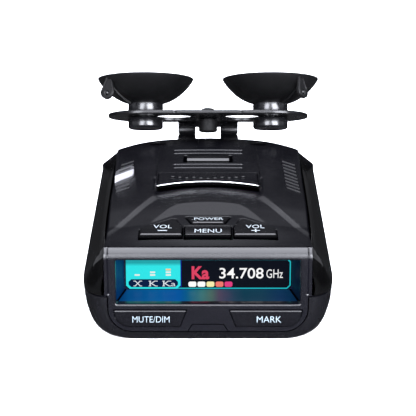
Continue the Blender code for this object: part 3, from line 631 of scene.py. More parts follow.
def build_cover():
    """The whole upper shell: flap, creases, key field, holes with eased lips, and its sides."""
    holes = [rounded(grown(VOLUME_HOLE, 0.3), 0.4), rounded(grown(MENU_HOLE, 0.3), 0.3),
             rounded(grown(POWER_KEY, 0.34), 0.4)]
    holes.append(mirrored(holes[0]))
    holes.append(rounded([(-7.9, 16.9), (7.9, 16.9), (7.9, 26.3), (-7.9, 26.3)], 0.7))
    holes += [circle(2.75, 40, (SCREW_SPOT[0] * s, SCREW_SPOT[1])) for s in (-1, 1)]
    holes.append(rounded(badge_outline(0.12, 1.45), 0.0))
    holes += [grille_field(s, 0.03) for s in (-1, 1)]
    lip = [0.22] * 5 + [0.2, 0.2, 0.12, 0.02, 0.02]
    boundary = cover_boundary()
    lines = []
    for hole, radius in zip(holes, lip):
        lines += rims(hole, *(radius * share for share in (0.15, 0.4, 0.7, 1.0, 1.6)))
    lines += rims(boundary, -0.1, -0.3, -0.6, -1.0)
    for side in (-1, 1):
        for shift in (-1.05, -0.88, -0.78, -0.4, 0.0, 0.4, 0.78, 0.88, 1.05):
            lines.append([((x + shift) * side, y - shift * 0.4) for x, y in CREASE])
        for shift in STEP_LINES:
            lines.append([((FLAP_W + shift) * side, y)
                          for y in np.linspace(-9.0, FLAP_FAR, 30)])
    for shift in STEP_LINES:
        lines.append([(x, FLAP_FAR + shift) for x in np.linspace(-FLAP_W, FLAP_W, 30)])
    for side in (-1, 1):
        for shift in FOLD_LINES:
            lines.append([(side * x, y + shift) for x, y in
                          ((9.6, -31.6), (11.5, -33.5), (13.5, -35.5), (15.5, -37.4))])
            lines.append([(side * (x + shift), y) for x, y in ((9.6, -31.5), (9.3, -24.6))])
            lines.append([(side * x, y + shift) for x, y in
                          ((9.3, -24.4), (12.0, -29.2), (14.0, -33.4), (15.5, -37.3))])
    for shift in (1.75, 2.0, 2.4, 3.0, 3.8):
        lines.append([(float(x), float(badge_near(x)) - shift)
                      for x in np.linspace(-15.5, 15.5, 40)])
    for shift in FOLD_LINES:
        lines.append([(x, -31.6 + shift) for x in np.linspace(-9.5, 9.5, 30)])
        lines.append([(x, -24.5 + shift) for x in np.linspace(-9.2, 9.2, 30)])
    spread = (grid((-30.0, 30.1, 1.1), (-54.0, 56.5, 1.1))
              + grid((-24.0, 24.1, 0.42), (-43.0, -23.0, 0.42))
              + grid((-24.0, 24.1, 0.5), (-51.5, -43.0, 0.5)))
    xy, tris = triangulate([boundary] + holes, lines, spread, 0.8)
    x, y = xy.T
    z = cover_height(x, y)
    for hole, radius in zip(holes, lip):
        z -= rounding(distance(xy, hole), radius)
    z -= rounding(distance(xy, boundary), 0.6) * (y > -53.0)
    mesh = mesh_of("top_cover", zip(x, y, z), tris, clear_loose,
                   lambda bm: cover_walls(bm, boundary), lambda bm: weld(bm, 0.001))
    adopt("top_cover", mesh, MATT, "housing", ["upper_cover"], angle=28.0)


def cover_walls(bm, boundary):
    """Walls dropped inside each hole, and the cover's side down from its boundary."""
    walls = open_edges(bm)
    rim = {v for e in walls for v in e.verts}
    on_edge = dict(zip(rim, distance(np.array([v.co[:2] for v in rim]) / MM, boundary) < 0.02))
    outer = [e for e in walls if all(on_edge[v] for v in e.verts)]
    inner = [e for e in walls if e not in set(outer)]
    drop(bm, inner, lambda c: (c.x, c.y, c.z - HOLE_DEPTH * MM))
    for level in NOSE_LEVELS:
        outer = drop(bm, outer, lambda c, at=level: skirt(c, at))


VENT_FLOOR = 28.4


def build_grille(side, name):
    """A vent insert flush with the cover: nine slots, each with a raised louvre at its far lip."""
    field = grille_field(side)
    rib = rounded([(-0.4, -0.25), (-0.1, 0.2), (0.1, 0.2), (0.8, -0.25)], 0.08, 3)
    slots, louvres = [], []
    for i in range(9):
        y = 22.5 - 3.63 * i
        slot = [(23.95 * side, y - 0.75), (27.75 * side, y - 3.85), (27.75 * side, y - 3.0),
                (23.95 * side, y + 0.1)]
        slots.append(rounded(slot if side > 0 else slot[::-1], 0.2))
        rings = []
        for x in np.linspace(23.9, 27.8, 9):
            at = y + 0.12 - 0.82 * (x - 23.95)
            level = cover_at(x * side, at)
            rings.append([(x * side, at + b, level + h) for b, h in rib])
        louvres.append(loft(rings))
    lines = [line for slot in slots for line in rims(slot, 0.08, 0.25, 0.5)]
    xy, tris = triangulate([field] + slots, lines, [], 0.6)
    z = cover_height(*xy.T)
    floor = mesh_of("vent_floor", *slab([grown(field, -0.1)], [(0.0, 28.0), (0.0, VENT_FLOOR)],
                                        upright), weld, face_out)
    mesh = mesh_of(f"vent_{name}", zip(*xy.T, z), tris, clear_loose,
                   lambda bm: drop(bm, open_edges(bm), lambda c: (c.x, c.y, VENT_FLOOR * MM)),
                   lambda bm: bm.from_mesh(floor))
    adopt(f"vent_{name}", mesh, MATT, "housing", [f"grille_{name}"], angle=40)
    # The louvres' lighter grey is a painted highlight along their edges.
    make(f"vent_louvres_{name}", *join(*louvres), LOUVRE_SHEEN, "housing", angle=40)


def drop(bm, edges, move):
    """Walls extruded from edges, their new points placed by move; returns the new edges."""
    made = bmesh.ops.extrude_edge_only(bm, edges=list(edges))["geom"]
    for v in (g for g in made if isinstance(g, bmesh.types.BMVert)):
        v.co = move(v.co)
    return [g for g in made if isinstance(g, bmesh.types.BMEdge) and g.is_boundary]


# Steps down the nose: (share of the way out to full width, height).
NOSE_LEVELS = [(0.0, 29.75), (0.04, 29.45), (0.10, 29.25), (0.90, 26.05), (0.965, 25.7),
               (1.0, 25.2), (1.0, 20.0), (1.0, 13.6), (0.985, 13.3), (0.90, 13.15)]
OUTER_R = nose_radius(HALF_W, HALF_L - SHOULDER_Y)
INNER_R = nose_radius(NOSE_W, TOP_END - SHOULDER_Y)


OVER_BEZEL = 24.6                 # where the side ends above the display
SKIRT_HOME = {}                   # the boundary point each point of the nose came down from


def skirt(c, level):
    """The next point down the cover's side: spreading out round the nose, straight elsewhere."""
    share, height = level
    x, y = c.x / MM, c.y / MM
    if y < SHOULDER_Y - 0.5:
        floor = OVER_BEZEL if y < -54.0 and abs(x) < 27.0 else 0.0
        return (c.x, c.y, max(min(height, c.z / MM - 0.01), floor) * MM)
    key = (round(x, 3), round(y, 3))
    home = SKIRT_HOME.get(key, key)
    hx, hy = home
    inner_sweep = math.asin(NOSE_W / INNER_R)
    outer_sweep = math.asin(HALF_W / OUTER_R)
    turn = math.atan2(hx, hy - (TOP_END - INNER_R)) * outer_sweep / inner_sweep
    ox = OUTER_R * math.sin(turn)
    oy = HALF_L - OUTER_R + OUTER_R * math.cos(turn)
    nx, ny = hx + (ox - hx) * share, hy + (oy - hy) * share
    SKIRT_HOME[(round(nx, 3), round(ny, 3))] = home
    return (nx * MM, ny * MM, min(height, c.z / MM) * MM)


build_cover()


# ---- worked solids

def solid(name, part):
    """A throwaway closed object from points in millimetres."""
    return linked(name, mesh_of(name, *part, weld, face_out))


def worked(name, part, material, body, replaces=(), cutters=(), bevel=0.0, segments=2,
           angle=35.0, limit=25.0):
    """A piece cut by other solids, its edges then eased, with both steps applied."""
    base = solid(name + "_blank", part)
    cuts = [solid(f"{name}_cut_{i}", cutter) for i, cutter in enumerate(cutters)]
    for cut in cuts:
        step = base.modifiers.new(cut.name, "BOOLEAN")
        step.object, step.operation, step.solver = cut, "DIFFERENCE", "EXACT"
    if bevel:
        step = base.modifiers.new("ease", "BEVEL")
        step.width, step.segments = bevel * MM, segments
        step.limit_method, step.angle_limit = "ANGLE", math.radians(limit)
    shaped = base.evaluated_get(bpy.context.evaluated_depsgraph_get())
    mesh = bpy.data.meshes.new_from_object(shaped)
    for obj in [base] + cuts:
        bpy.data.objects.remove(obj)
    return adopt(name, mesh, material, body, replaces, angle)


def block(low, high):
    (x0, y0, z0), (x1, y1, z1) = low, high
    base = [(x0, y0), (x1, y0), (x1, y1), (x0, y1)]
    return loft([[(x, y, z) for x, y in base] for z in (z0, z1)])


def tube(rings):
    """A closed ring-shaped solid: the last ring joins back to the first."""
    points, faces = loft(rings, caps=(False, False))
    count, last = len(rings[0]), len(points) - len(rings[0])
    faces += [(last + i, last + (i + 1) % count, (i + 1) % count, i) for i in range(count)]
    return points, faces


def rounded_rect(low, high, radius, steps=4):
    (x0, y0), (x1, y1) = low, high
    return rounded([(x0, y0), (x1, y0), (x1, y1), (x0, y1)], radius, steps)


def upright(x, y, h):
    return (x, y, h)


def facing(x, z, h):
    """Height h towards the display side."""
    return (x, -h, z)


# ---- floors of the cover's openings

for side, name in SIDES:
    seat = turned([(3.3, 26.6), (3.3, 28.5), (0.02, 28.5)], 48)
    make(f"screw_seat_{name}", *moved(seat, Matrix.Translation((SCREW_SPOT[0] * side,
                                                                SCREW_SPOT[1], 0))),
         MATT)
dish = slab([rounded_rect((-8.1, 16.6), (8.1, 18.75), 0.5)], edge_round(0.1, 28.9, 30.1), upright)
make("release_dish", *dish, MATT)


# ---- side panels

PANEL_STATIONS = [
    # y, crest height, middle share out, middle height, how far the outer crease is drawn in
    (-56.85, 22.6, 0.50, 18.2, 0.0),
    (-56.2, 22.9, 0.50, 18.4, 0.0),
    (-54.6, 23.1, 0.52, 18.8, 0.0),
    (-52.9, 23.2, 0.56, 19.6, 0.0),
    (-51.6, 22.3, 0.60, 20.4, 0.0),
    (-50.4, 22.9, 0.46, 21.6, 0.0),
    (-48.8, 25.0, 0.30, 22.6, 0.0),
    (-46.6, 27.0, 0.26, 21.0, 0.0),
    (-44.0, 28.2, 0.28, 20.4, 0.0),
    (-34.0, 29.1, 0.32, 21.2, 0.0),
    (-20.0, 29.8, 0.36, 22.4, 0.0),
    (-5.0, 30.2, 0.38, 23.8, 0.0),
    (15.0, 30.2, 0.40, 25.6, 0.0),
    (36.9, 29.7, 0.42, 26.9, 0.0),
]


def corner_inset(y):
    if y >= CORNER_Y:
        return 0.0
    share = min((CORNER_Y - y) / (HALF_L + CORNER_Y), 1.0)
    return (HALF_W - BEZEL_W) * (1 - math.sqrt(max(1 - share ** 2, 0.0)))


def panel_ring(side, y, crest, share, middle, drawn):
    edge = top_edge(y) + SEAM
    outer = max(HALF_W - corner_inset(y) - drawn, edge + 0.9)
    crease = 15.5 + 0.118 * (max(y, CORNER_Y) - CORNER_Y)
    base = PARTING_Z + SEAM
    inner = max(outer - 1.8, edge + 0.5)
    points = [(edge, crest), (edge + (outer - edge) * share, middle), (outer, crease),
              (outer, base), (inner, base), (inner, crease - 0.9), (edge + 0.4, crest - 4.5),
              (edge, crest - 4.5)]
    return [(x * side, y, z) for x, z in points]


for side, name in SIDES:
    rings = [panel_ring(side, *station) for station in PANEL_STATIONS]
    worked(f"gloss_panel_{name}", loft(rings), GLOSS, "housing", [f"side_panel_{name}"],
           bevel=0.28, segments=3, angle=30, limit=14)


# ---- lower cover

LOWER_SIDE = [(0.0, 26.0), (0.12, 27.4), (0.4, 28.7), (1.2, 30.7), (2.6, 32.2), (5.0, 33.4),
              (9.0, 34.5), (12.75, 34.95)]
SOCKETS = [("power", -14.0, 6.4, 4.7, 12.4), ("earphone", 1.0, 3.3, 5.7, 12.3),
           ("usb", 12.0, 4.4, 6.7, 11.3)]
CASE_SCREWS = [("rear_left", -13.0, -46.5), ("rear_right", 13.0, -46.5),
               ("front_left", -20.0, 34.0), ("front_right", 20.0, 34.0)]


def eased(value, table):
    """A smooth curve through (position, result) pairs, without overshoot."""
    xs, ys = (np.array(c, float) for c in zip(*table))
    steps, rises = np.diff(xs), np.diff(ys)
    slopes = rises / steps
    tangents = np.concatenate([slopes[:1], 2 * slopes[:-1] * slopes[1:]
                               / np.maximum(slopes[:-1] + slopes[1:], 1e-9), slopes[-1:]])
    i = int(np.clip(np.searchsorted(xs, value) - 1, 0, len(steps) - 1))
    t = (value - xs[i]) / steps[i]
    return float(ys[i] * (1 + 2 * t) * (1 - t) ** 2 + tangents[i] * steps[i] * t * (1 - t) ** 2
                 + ys[i + 1] * t * t * (3 - 2 * t) + tangents[i + 1] * steps[i] * t * t * (t - 1))


def lower_ring(z, inset=0.0):
    width = eased(max(z, 0.0), LOWER_SIDE) - inset
    tuck = 1 - math.sqrt(max(1 - ((PARTING_Z - z) / PARTING_Z) ** 4, 0.0))
    rear, front = -HALF_L + 2.0 * tuck + inset, HALF_L - 5.0 * tuck - inset
    shrink = HALF_W - width
    ys = [-HALF_L, -56.8, -56.4, -55.8, -55.0, -54.0, -53.0, -51.5, -50.0, -48.0, -46.0, CORNER_Y,
          *np.linspace(-40.0, 36.0, 20)]
    right = [(HALF_W - corner_inset(y) - shrink, y) for y in ys]
    right = [(x, rear + (y + HALF_L) * (CORNER_Y - rear) / (CORNER_Y + HALF_L)
              if y < CORNER_Y else y) for x, y in right]
    right += nose(width, SHOULDER_Y, front)[:-1]
    return [(x, y, z) for x, y in right + [(0.0, front)] + mirrored(right)]


def bezel_outline(grow=0.0):
    wide, narrow = BEZEL_W + grow, BEZEL_FOOT_W + grow
    low, radius = BEZEL_LOW - grow, BEZEL_CORNER + grow
    right = arc((narrow - radius, low + radius), radius, -90, 0, 16)
    right += [(narrow, PARTING_Z - SEAM - grow), (wide, PARTING_Z - SEAM - grow), (wide, 30.0)]
    return right + mirrored(right)


def build_lower():
    outside = [lower_ring(z) for z in (0.0, 0.06, 0.15, 0.3, 0.6, 1.0, 1.6, 2.4, 3.4, 4.6,
                                       6.0, 8.0, 10.0, 12.0, 12.6, 12.75)]
    outside.append([(x * 0.995, y * 0.997, z) for x, y, z in lower_ring(12.85)])
    hollow = [[(x, y, z) for x, y, _ in lower_ring(level, 2.0)]
              for level, z in ((3.0, 2.0), (5.5, 5.5), (9.0, 9.0), (12.75, 14.0))]
    cuts = [loft(hollow)]
    cuts.append(loft([[(x, y, z) for x, z in bezel_outline(0.16)] for y in (-60.0, -50.0)]))
    for name, y, half, low, high in SOCKETS:
        hole = rounded_rect((y - half, low), (y + half, high), 1.2 if name == "power" else 0.8)
        if name == "earphone":
            hole = circle(3.3, 40, (y, 9.0))
        cuts.append(loft([[(x, a, b) for a, b in hole] for x in (28.0, 40.0)]))
    for name, x, y in CASE_SCREWS:
        well = turned([(2.75, -1.0), (2.75, 1.2), (1.4, 1.3), (1.4, 5.0)], 40)
        cuts.append(moved(well, Matrix.Translation((x, y, 0))))
    label = rounded_rect((-17.0, -34.0), (17.0, -12.0), 1.5)
    cuts.append(loft([[(x, y, z) for x, y in label] for z in (-1.0, 0.25)]))
    for i in range(7):
        slot = rounded_rect((-24.0, 2.0 + 2.6 * i), (-9.0, 3.1 + 2.6 * i), 0.5)
        cuts.append(loft([[(x, y, z) for x, y in slot] for z in (-1.0, 4.0)]))
    worked("lower_shell", loft(outside), LOWER, "housing", ["lower_cover"], cuts, angle=32)


build_lower()


# ---- bezel

ROLL_Z, ROLL_R = 23.4, 3.0
BEZEL_TOP = ROLL_Z + ROLL_R * math.acos(0.1)
BEZEL_BACK = 54.35
TRAPEZOID = [(-5.7, 2.95), (-4.35, 5.05), (4.35, 5.05), (5.7, 2.95), (5.4, 2.95), (4.2, 4.8),
             (-4.2, 4.8), (-5.4, 2.95)]


def bezel_place(x, t, depth):
    """A point of the bezel: up its flat face, then back over its rolled top edge."""
    if t <= ROLL_Z:
        return (x, -HALF_L + depth, t)
    a = (t - ROLL_Z) / ROLL_R
    return (x, -54.0 - (ROLL_R - depth) * math.cos(a), ROLL_Z + (ROLL_R - depth) * math.sin(a))


def build_bezel():
    wide, narrow, low, radius = BEZEL_W, BEZEL_FOOT_W, BEZEL_LOW, BEZEL_CORNER
    right = arc((narrow - radius, low + radius), radius, -90, 0, 20)
    right += [(narrow, z) for z in (10.5, 11.5, PARTING_Z)] + [(wide, PARTING_Z)]
    right += [(wide, z) for z in np.linspace(14.0, BEZEL_TOP, 26)]
    top = [(x, BEZEL_TOP) for x in np.linspace(wide, -wide, 50)[1:-1]]
    floor = [(x, low) for x in np.linspace(low - narrow + radius - 2.7, narrow - radius, 24)[1:-1]]
    boundary = right + top + mirrored(right) + floor
    opening = rounded_rect((-SCREEN_W, SCREEN_LOW), (SCREEN_W, SCREEN_HIGH), 0.5)
    keys = [rounded(grown(FACE_KEY, 0.18), 0.35)]
    keys.append(mirrored(keys[0]))
    lines = []
    for hole, lip in ((opening, 0.55), (keys[0], 0.16), (keys[1], 0.16)):
        lines += rims(hole, *(lip * share for share in (0.15, 0.4, 0.7, 1.0, 1.5)))
    lines += rims(boundary, -0.08, -0.2, -0.35, -0.6)
    for side in (-1, 1):
        for x in (27.0, 27.12, 27.22, 27.34, 27.46, 27.56, 27.7):
            lines.append([(x * side, t)
                          for t in np.linspace(PARTING_Z + 0.7, BEZEL_TOP - 0.5, 30)])
    for t in np.linspace(ROLL_Z, BEZEL_TOP, 22)[:-1]:
        lines.append([(x, t) for x in np.linspace(-27.9, 27.9, 60)])
    spread = grid((-28.0, 28.1, 1.2), (3.0, 23.0, 1.2))
    xy, tris = triangulate([boundary, opening] + keys, lines, spread, 0.8)
    depth = rounding(distance(xy, opening), 0.55)
    for key in keys:
        depth += rounding(distance(xy, key), 0.16) * (xy[:, 1] > 6.5)
    depth += rounding(distance(xy, boundary), 0.16) * (xy[:, 1] < BEZEL_TOP - 0.8)
    groove = np.abs(np.abs(xy[:, 0]) - 27.34)
    depth += 0.2 * (1 - ramp(groove, 0.05, 0.22)) * (xy[:, 1] > PARTING_Z + 0.5)
    mesh = mesh_of("bezel", [bezel_place(*p, d) for p, d in zip(xy, depth)], tris, clear_loose,
                   lambda bm: drop(bm, open_edges(bm),
                                   lambda c: (c.x, max(c.y, -BEZEL_BACK * MM), c.z)), face_out)
    adopt("bezel", mesh, BEZEL, "housing", ["display_bezel"], angle=30)


def bezel_line(name, outline):
    """A dark line let into the face of the bezel: painted shade along a seam or groove."""
    make(name, *slab([outline], [(0.0, -0.08), (0.0, 0.012)],
                     lambda x, t, h: bezel_place(x, t, -h)), SHADE_BLACK)


def seam_side(by):
    """The bezel's lower edge grown by a little, from its left foot round to its right."""
    right = [p for p in bezel_outline(by) if p[0] > 0 and p[1] < 10.0]
    right.append((BEZEL_FOOT_W + by, PARTING_Z - 0.5))
    return [(-x, t) for x, t in right[::-1]] + right


build_bezel()
bezel_line("bezel_notch_line", TRAPEZOID[::-1])
bezel_line("bezel_seam_line", seam_side(0.05) + seam_side(-0.2)[::-1])


# ---- keys

# Each face slopes between two (y, height) lines.
VOLUME_LINES = ((-50.0, 28.0), (-31.6, 29.0))
MENU_LINES = ((-50.0, 27.9), (-40.6, 28.5))
POWER_LINES = ((-39.4, 28.95), (-33.0, 28.85))
PRINT_LIFT = 0.02                 # how far lettering stands off a key


def on_key(near, far):
    slope = (far[1] - near[1]) / (far[0] - near[0])
    return lambda x, y, h=PRINT_LIFT: (x, y, near[1] + slope * (y - near[0]) + h)


def on_face(x, z):
    return (x, -57.4 - PRINT_LIFT, z)


for name, outline, lines, foot, radius in (
        ("volume_up", VOLUME_KEY, VOLUME_LINES, -1.5, 0.55),
        ("volume_down", mirrored(VOLUME_KEY), VOLUME_LINES, -1.5, 0.55),
        ("menu", MENU_KEY, MENU_LINES, -1.4, 0.14),
        ("power", POWER_KEY, POWER_LINES, -1.9, 0.5)):
    part = slab([rounded(outline, 0.45)], edge_round(radius, foot, 0.0, 4), on_key(*lines))
    make(f"{name}_cap", *part, KEY, f"{name}_key", [f"{name}_button"])
lip = [[(x, y, 27.9 + 0.064 * (y + 50.0) + h) for y, h in
        ((-41.15, -0.1), (-40.98, 0.16), (-40.72, 0.16), (-40.66, -0.1))] for x in (-6.2, 6.2)]
make("menu_lip", *loft(lip), KEY, "menu_key")
for name, outline in (("mark", FACE_KEY), ("mute_dim", mirrored(FACE_KEY))):
    part = slab([rounded(outline, 0.3)], edge_round(0.35, 54.4, 57.4, 4), facing)
    make(f"{name}_cap", *part, KEY, f"{name}_key", [f"{name}_button"])

for name, text, box, place, key, bold in (
        ("power", "POWER", (-3.95, 4.35, -37.1, -34.6), on_key(*POWER_LINES), "power", 0.004),
        ("menu", "MENU", (-3.75, 3.8, -46.7, -43.9), on_key(*MENU_LINES), "menu", 0.0),
        ("volume_down", "VOL", (-15.3, -10.1, -43.3, -40.6), on_key(*VOLUME_LINES),
         "volume_down", 0.0),
        ("volume_up", "VOL", (10.6, 15.8, -43.3, -40.6), on_key(*VOLUME_LINES), "volume_up", 0.0),
        ("minus", "-", (-14.0, -11.4, -45.5, -44.9), on_key(*VOLUME_LINES), "volume_down", 0.0),
        ("plus", "+", (12.05, 14.45, -46.4, -43.9), on_key(*VOLUME_LINES), "volume_up", 0.0),
        ("mute_dim", "MUTE/DIM", (-20.75, -10.55, 5.6, 7.4), on_face, "mute_dim", -0.003),
        ("mark", "MARK", (13.4, 20.1, 5.6, 7.4), on_face, "mark", -0.003)):
    ink = FRONT_PRINT if place is on_face else PRINT
    letters(f"{name}_label", text, box, place, ink, f"{key}_key", bold)


# ---- release, badge, trim, grilles

def build_release():
    side = [(19.05, 29.8), (19.05, 31.9), (19.8, 32.55), (22.4, 32.65), (25.9, 32.65),
            (25.9, 29.8)]
    side = rounded(side, [0.0, 0.2, 0.4, 1.0, 0.3, 0.0], 4)
    rings = [[(x, y, z) for y, z in side] for x in (-RELEASE_W + 0.05, RELEASE_W - 0.05)]
    worked("release_cap", join(loft(rings), block((-4.3, 19.6, 24.6), (4.3, 25.4, 29.7))), KEY,
           "release", ["release_button"], bevel=0.18, segments=3)


build_release()


BADGE_Z = 32.4


def badge_place(x, y, h):
    return (x, y, BADGE_Z + h)


make("badge", *slab([rounded(badge_outline(), 0.0)],
                    [(0.0, -1.3), (0.0, -0.5), (-0.35, -0.2), (-0.6, -0.2), (-0.75, -0.2)],
                    badge_place), MATT, "housing", ["badge_plate"])
make("badge_seat", *slab([rounded(badge_outline(0.4, 1.7), 0.0)], [(0.0, 29.3), (0.0, 30.0)],
                         upright), MATT)
BARS = [2.0, 3.4, 5.0, 3.6, 5.2, 6.2, 5.2, 3.6, 5.0, 3.4, 2.0]
for i, deep in enumerate(BARS):
    x = (i - 5) * 2.15
    bar = rounded_rect((x - 0.68, -2.0 - deep / 2), (x + 0.68, -2.0 + deep / 2), 0.55)
    make(f"badge_bar_{i}", *slab([bar], edge_round(0.28, -0.22, 0.2), badge_place), MATT)


def build_chrome():
    rings = []
    for x in np.linspace(-15.25, 15.25, 61):
        taper = min(1.0, (15.4 - abs(x)) / 2.2)
        wide, tall = 0.25 * taper ** 0.5, 0.13 * taper ** 0.5
        centre = (float(badge_near(x)) - 0.3, 31.98 + 0.34 * (1 - (x / 15.25) ** 2))
        rings.append([(float(x), centre[0] + wide * math.cos(a), centre[1] + tall * math.sin(a))
                      for a in np.linspace(0, 2 * math.pi, 17)[:-1]])
    make("chrome_arc", *loft(rings), CHROME, "housing", ["chrome_trim"], angle=60)


build_chrome()


build_grille(-1, "left")
build_grille(1, "right")
build_ridges()


def build_tab():
    """A slanted strip over the left vent: a flat part with a slot, and a face turned down; its
    silver and light grey are a painted highlight on the vent.
    """
    def crease(x, shift=0.0):
        return (x, 4.75 + 1.63 * (x + 26.1) + shift)

    def place(x, y, h):
        fall = max(0.0, crease(x)[1] - y)
        return (x, y, 31.95 - 0.28 * fall + h)

    lower = [(-28.45, -3.6), (-27.3, -1.5), (-23.55, 4.7), (-23.15, 6.2), crease(-23.15, -0.05),
             crease(-28.6, -0.05)]
    upper = [crease(-28.6, 0.05), crease(-23.2, 0.05), (-23.35, 12.1), (-24.2, 13.2),
             (-27.9, 7.9), (-28.6, 5.7)]
    slot = [(-27.6, 4.3), (-24.3, 9.7), (-24.3, 11.1), (-27.6, 5.7)]
    make("vent_tab", *slab([rounded(lower, 0.25)], edge_round(0.12, -1.2, 0.0), place), SHEEN_SILVER,
         "housing", ["grille_tab"])
    make("vent_tab_top", *slab([rounded(upper, 0.25), rounded(slot, 0.35)[::-1]],
                               edge_round(0.12, -1.2, 0.0), place), TAB_SHEEN)


build_tab()


# ---- screws

def screw(name, place, length):
    head = turned([(1.0, -length), (1.0, -0.05), (2.2, 0.0), (2.2, 0.35), (2.0, 0.6), (1.5, 0.78),
                   (0.8, 0.86), (0.02, 0.88)], 40)
    cross = []
    for turn in (0.0, math.pi / 2):
        tip = loft([[(x, y, z) for x, y in rounded_rect((-r, -w), (r, w), 0.1, 2)]
                    for z, r, w in ((0.1, 0.55, 0.14), (0.5, 1.15, 0.24), (1.2, 1.3, 0.27))])
        cross.append(moved(tip, place @ Matrix.Rotation(turn, 4, "Z")))
    worked(f"{name}_head", moved(head, place), SCREW, "housing", [name], cross, angle=30)


for side, name in SIDES:
    screw(f"top_screw_{name}", Matrix.Translation((SCREW_SPOT[0] * side, SCREW_SPOT[1], 28.75))
          @ Matrix.Rotation(0.5 * side, 4, "Z"), 8.0)
for name, x, y in CASE_SCREWS:
    screw(f"case_screw_{name}", Matrix.Translation((x, y, 0.95))
          @ Matrix.Rotation(math.pi, 4, "X"), 7.6)


# ---- display

SPILL_W = 25.0                    # how far to each side the spilled light is given


def spilled_light(name, stops):
    """Dark gloss with the display's own light painted along it as a glow, by position across: a
    painted reflection of the display.
    """
    made = finish(name, (0.0002, 0.0010, 0.003), 0.4, mottle=0.2, specular=0.03)
    tree = made.node_tree
    across = mapped(tree, axis(tree, "X"), -SPILL_W * MM, SPILL_W * MM)
    light = colour_ramp(tree, across, [((x + SPILL_W) / (2 * SPILL_W), rgba(srgb(*colour)))
                                       for x, colour in stops])
    fill(tree, tree.nodes["Principled BSDF"], {"Emission Color": light,
                                               "Emission Strength": 0.9})
    return made


# Colours of the painted reflection of the display's light on the tunnel's walls and floor, by
# position across.
WALL_LIGHT = [(-25.0, (0, 44, 92)), (-23.2, (0, 34, 72)), (0.0, (2, 16, 40)),
              (23.0, (8, 22, 44)), (25.0, (4, 16, 34))]
FLOOR_LIGHT = [(-25.0, (0, 52, 100)), (-22.0, (0, 70, 132)), (-15.0, (0, 86, 150)),
               (-8.0, (0, 80, 158)), (-5.0, (4, 96, 128)), (-1.5, (50, 112, 112)),
               (1.0, (68, 98, 92)), (3.2, (72, 66, 88)), (6.2, (40, 62, 84)),
               (10.0, (16, 58, 76)), (15.0, (20, 58, 78)), (20.0, (14, 48, 84)),
               (23.5, (6, 40, 72)), (25.0, (6, 26, 50))]


def build_tunnel():
    def ring(y, wide, low, high, radius=0.5):
        return [(x, y, z) for x, z in rounded_rect((-wide, low), (wide, high), radius)]

    front, back = -54.25, -45.05
    rings = [ring(front, 26.4, 9.4, 24.6), ring(back, 24.4, 9.7, 21.4),
             ring(back, PANEL_W + 0.35, PANEL_LOW - 0.1, PANEL_HIGH, 0.35),
             ring(front, SCREEN_W + 0.15, SCREEN_LOW - 0.12, SCREEN_HIGH + 0.3)]
    make("tunnel", *tube(rings), spilled_light("tunnel_painted_glow", WALL_LIGHT), "housing",
         ["display_shroud"], angle=25)
    floor = [[(-w, y, z), (w, y, z), (w, y, z + 0.06), (-w, y, z + 0.06)]
             for w, y, z in ((25.0, -54.2, 10.6), (23.2, -45.1, 10.8))]
    make("tunnel_floor", *loft(floor), spilled_light("tunnel_floor_painted_glow", FLOOR_LIGHT))


build_tunnel()
# Dark wedges along the tunnel floor's sides: painted shade in its corners.
for side, name in SIDES:
    strip = [[(side * (w + dx), y, z + dz) for dx, dz in
              ((-0.22, 0.0), (0.22, 0.0), (0.22, 0.3), (-0.22, 0.1))[::side]]
             for w, y, z in ((24.9, -54.2, 10.62), (23.1, -45.2, 10.82))]
    make(f"tunnel_edge_{name}", *loft(strip), SHADE_BLACK)
PANEL_FACE = 44.86                # distance of the lit layer towards the display side
LAYER, LAYER_T = 0.012, 0.01      # step from one lit layer to the next, and its thickness


def lit(name, outline, colour, layer=0, top_shade=None):
    """A lit shape on the panel; a higher layer stands a hair in front."""
    low = PANEL_FACE + LAYER * layer
    part = slab([outline], [(0.0, low), (0.0, low + LAYER_T)], facing)
    make(name, *part, glow(f"{name}_light", srgb(*colour), top_shade))


def lit_text(name, text, box, colour, layer, bold):
    def place(x, z):
        return (x, -PANEL_FACE - LAYER * (layer + 0.5), z)
    letters(name, text, box, place, glow(f"{name}_light", srgb(*colour)), "housing", bold)


def chamfered(left, right, low, high, cut, top_cut=0.0):
    """A box with its lower corners cut off, and its upper ones too if top_cut is given."""
    head = [(right, high - top_cut), (right - top_cut, high), (left + top_cut, high),
            (left, high - top_cut)] if top_cut else [(right, high), (left, high)]
    return [(left + cut, low), (right - cut, low), (right, low + cut), *head, (left, low + cut)]


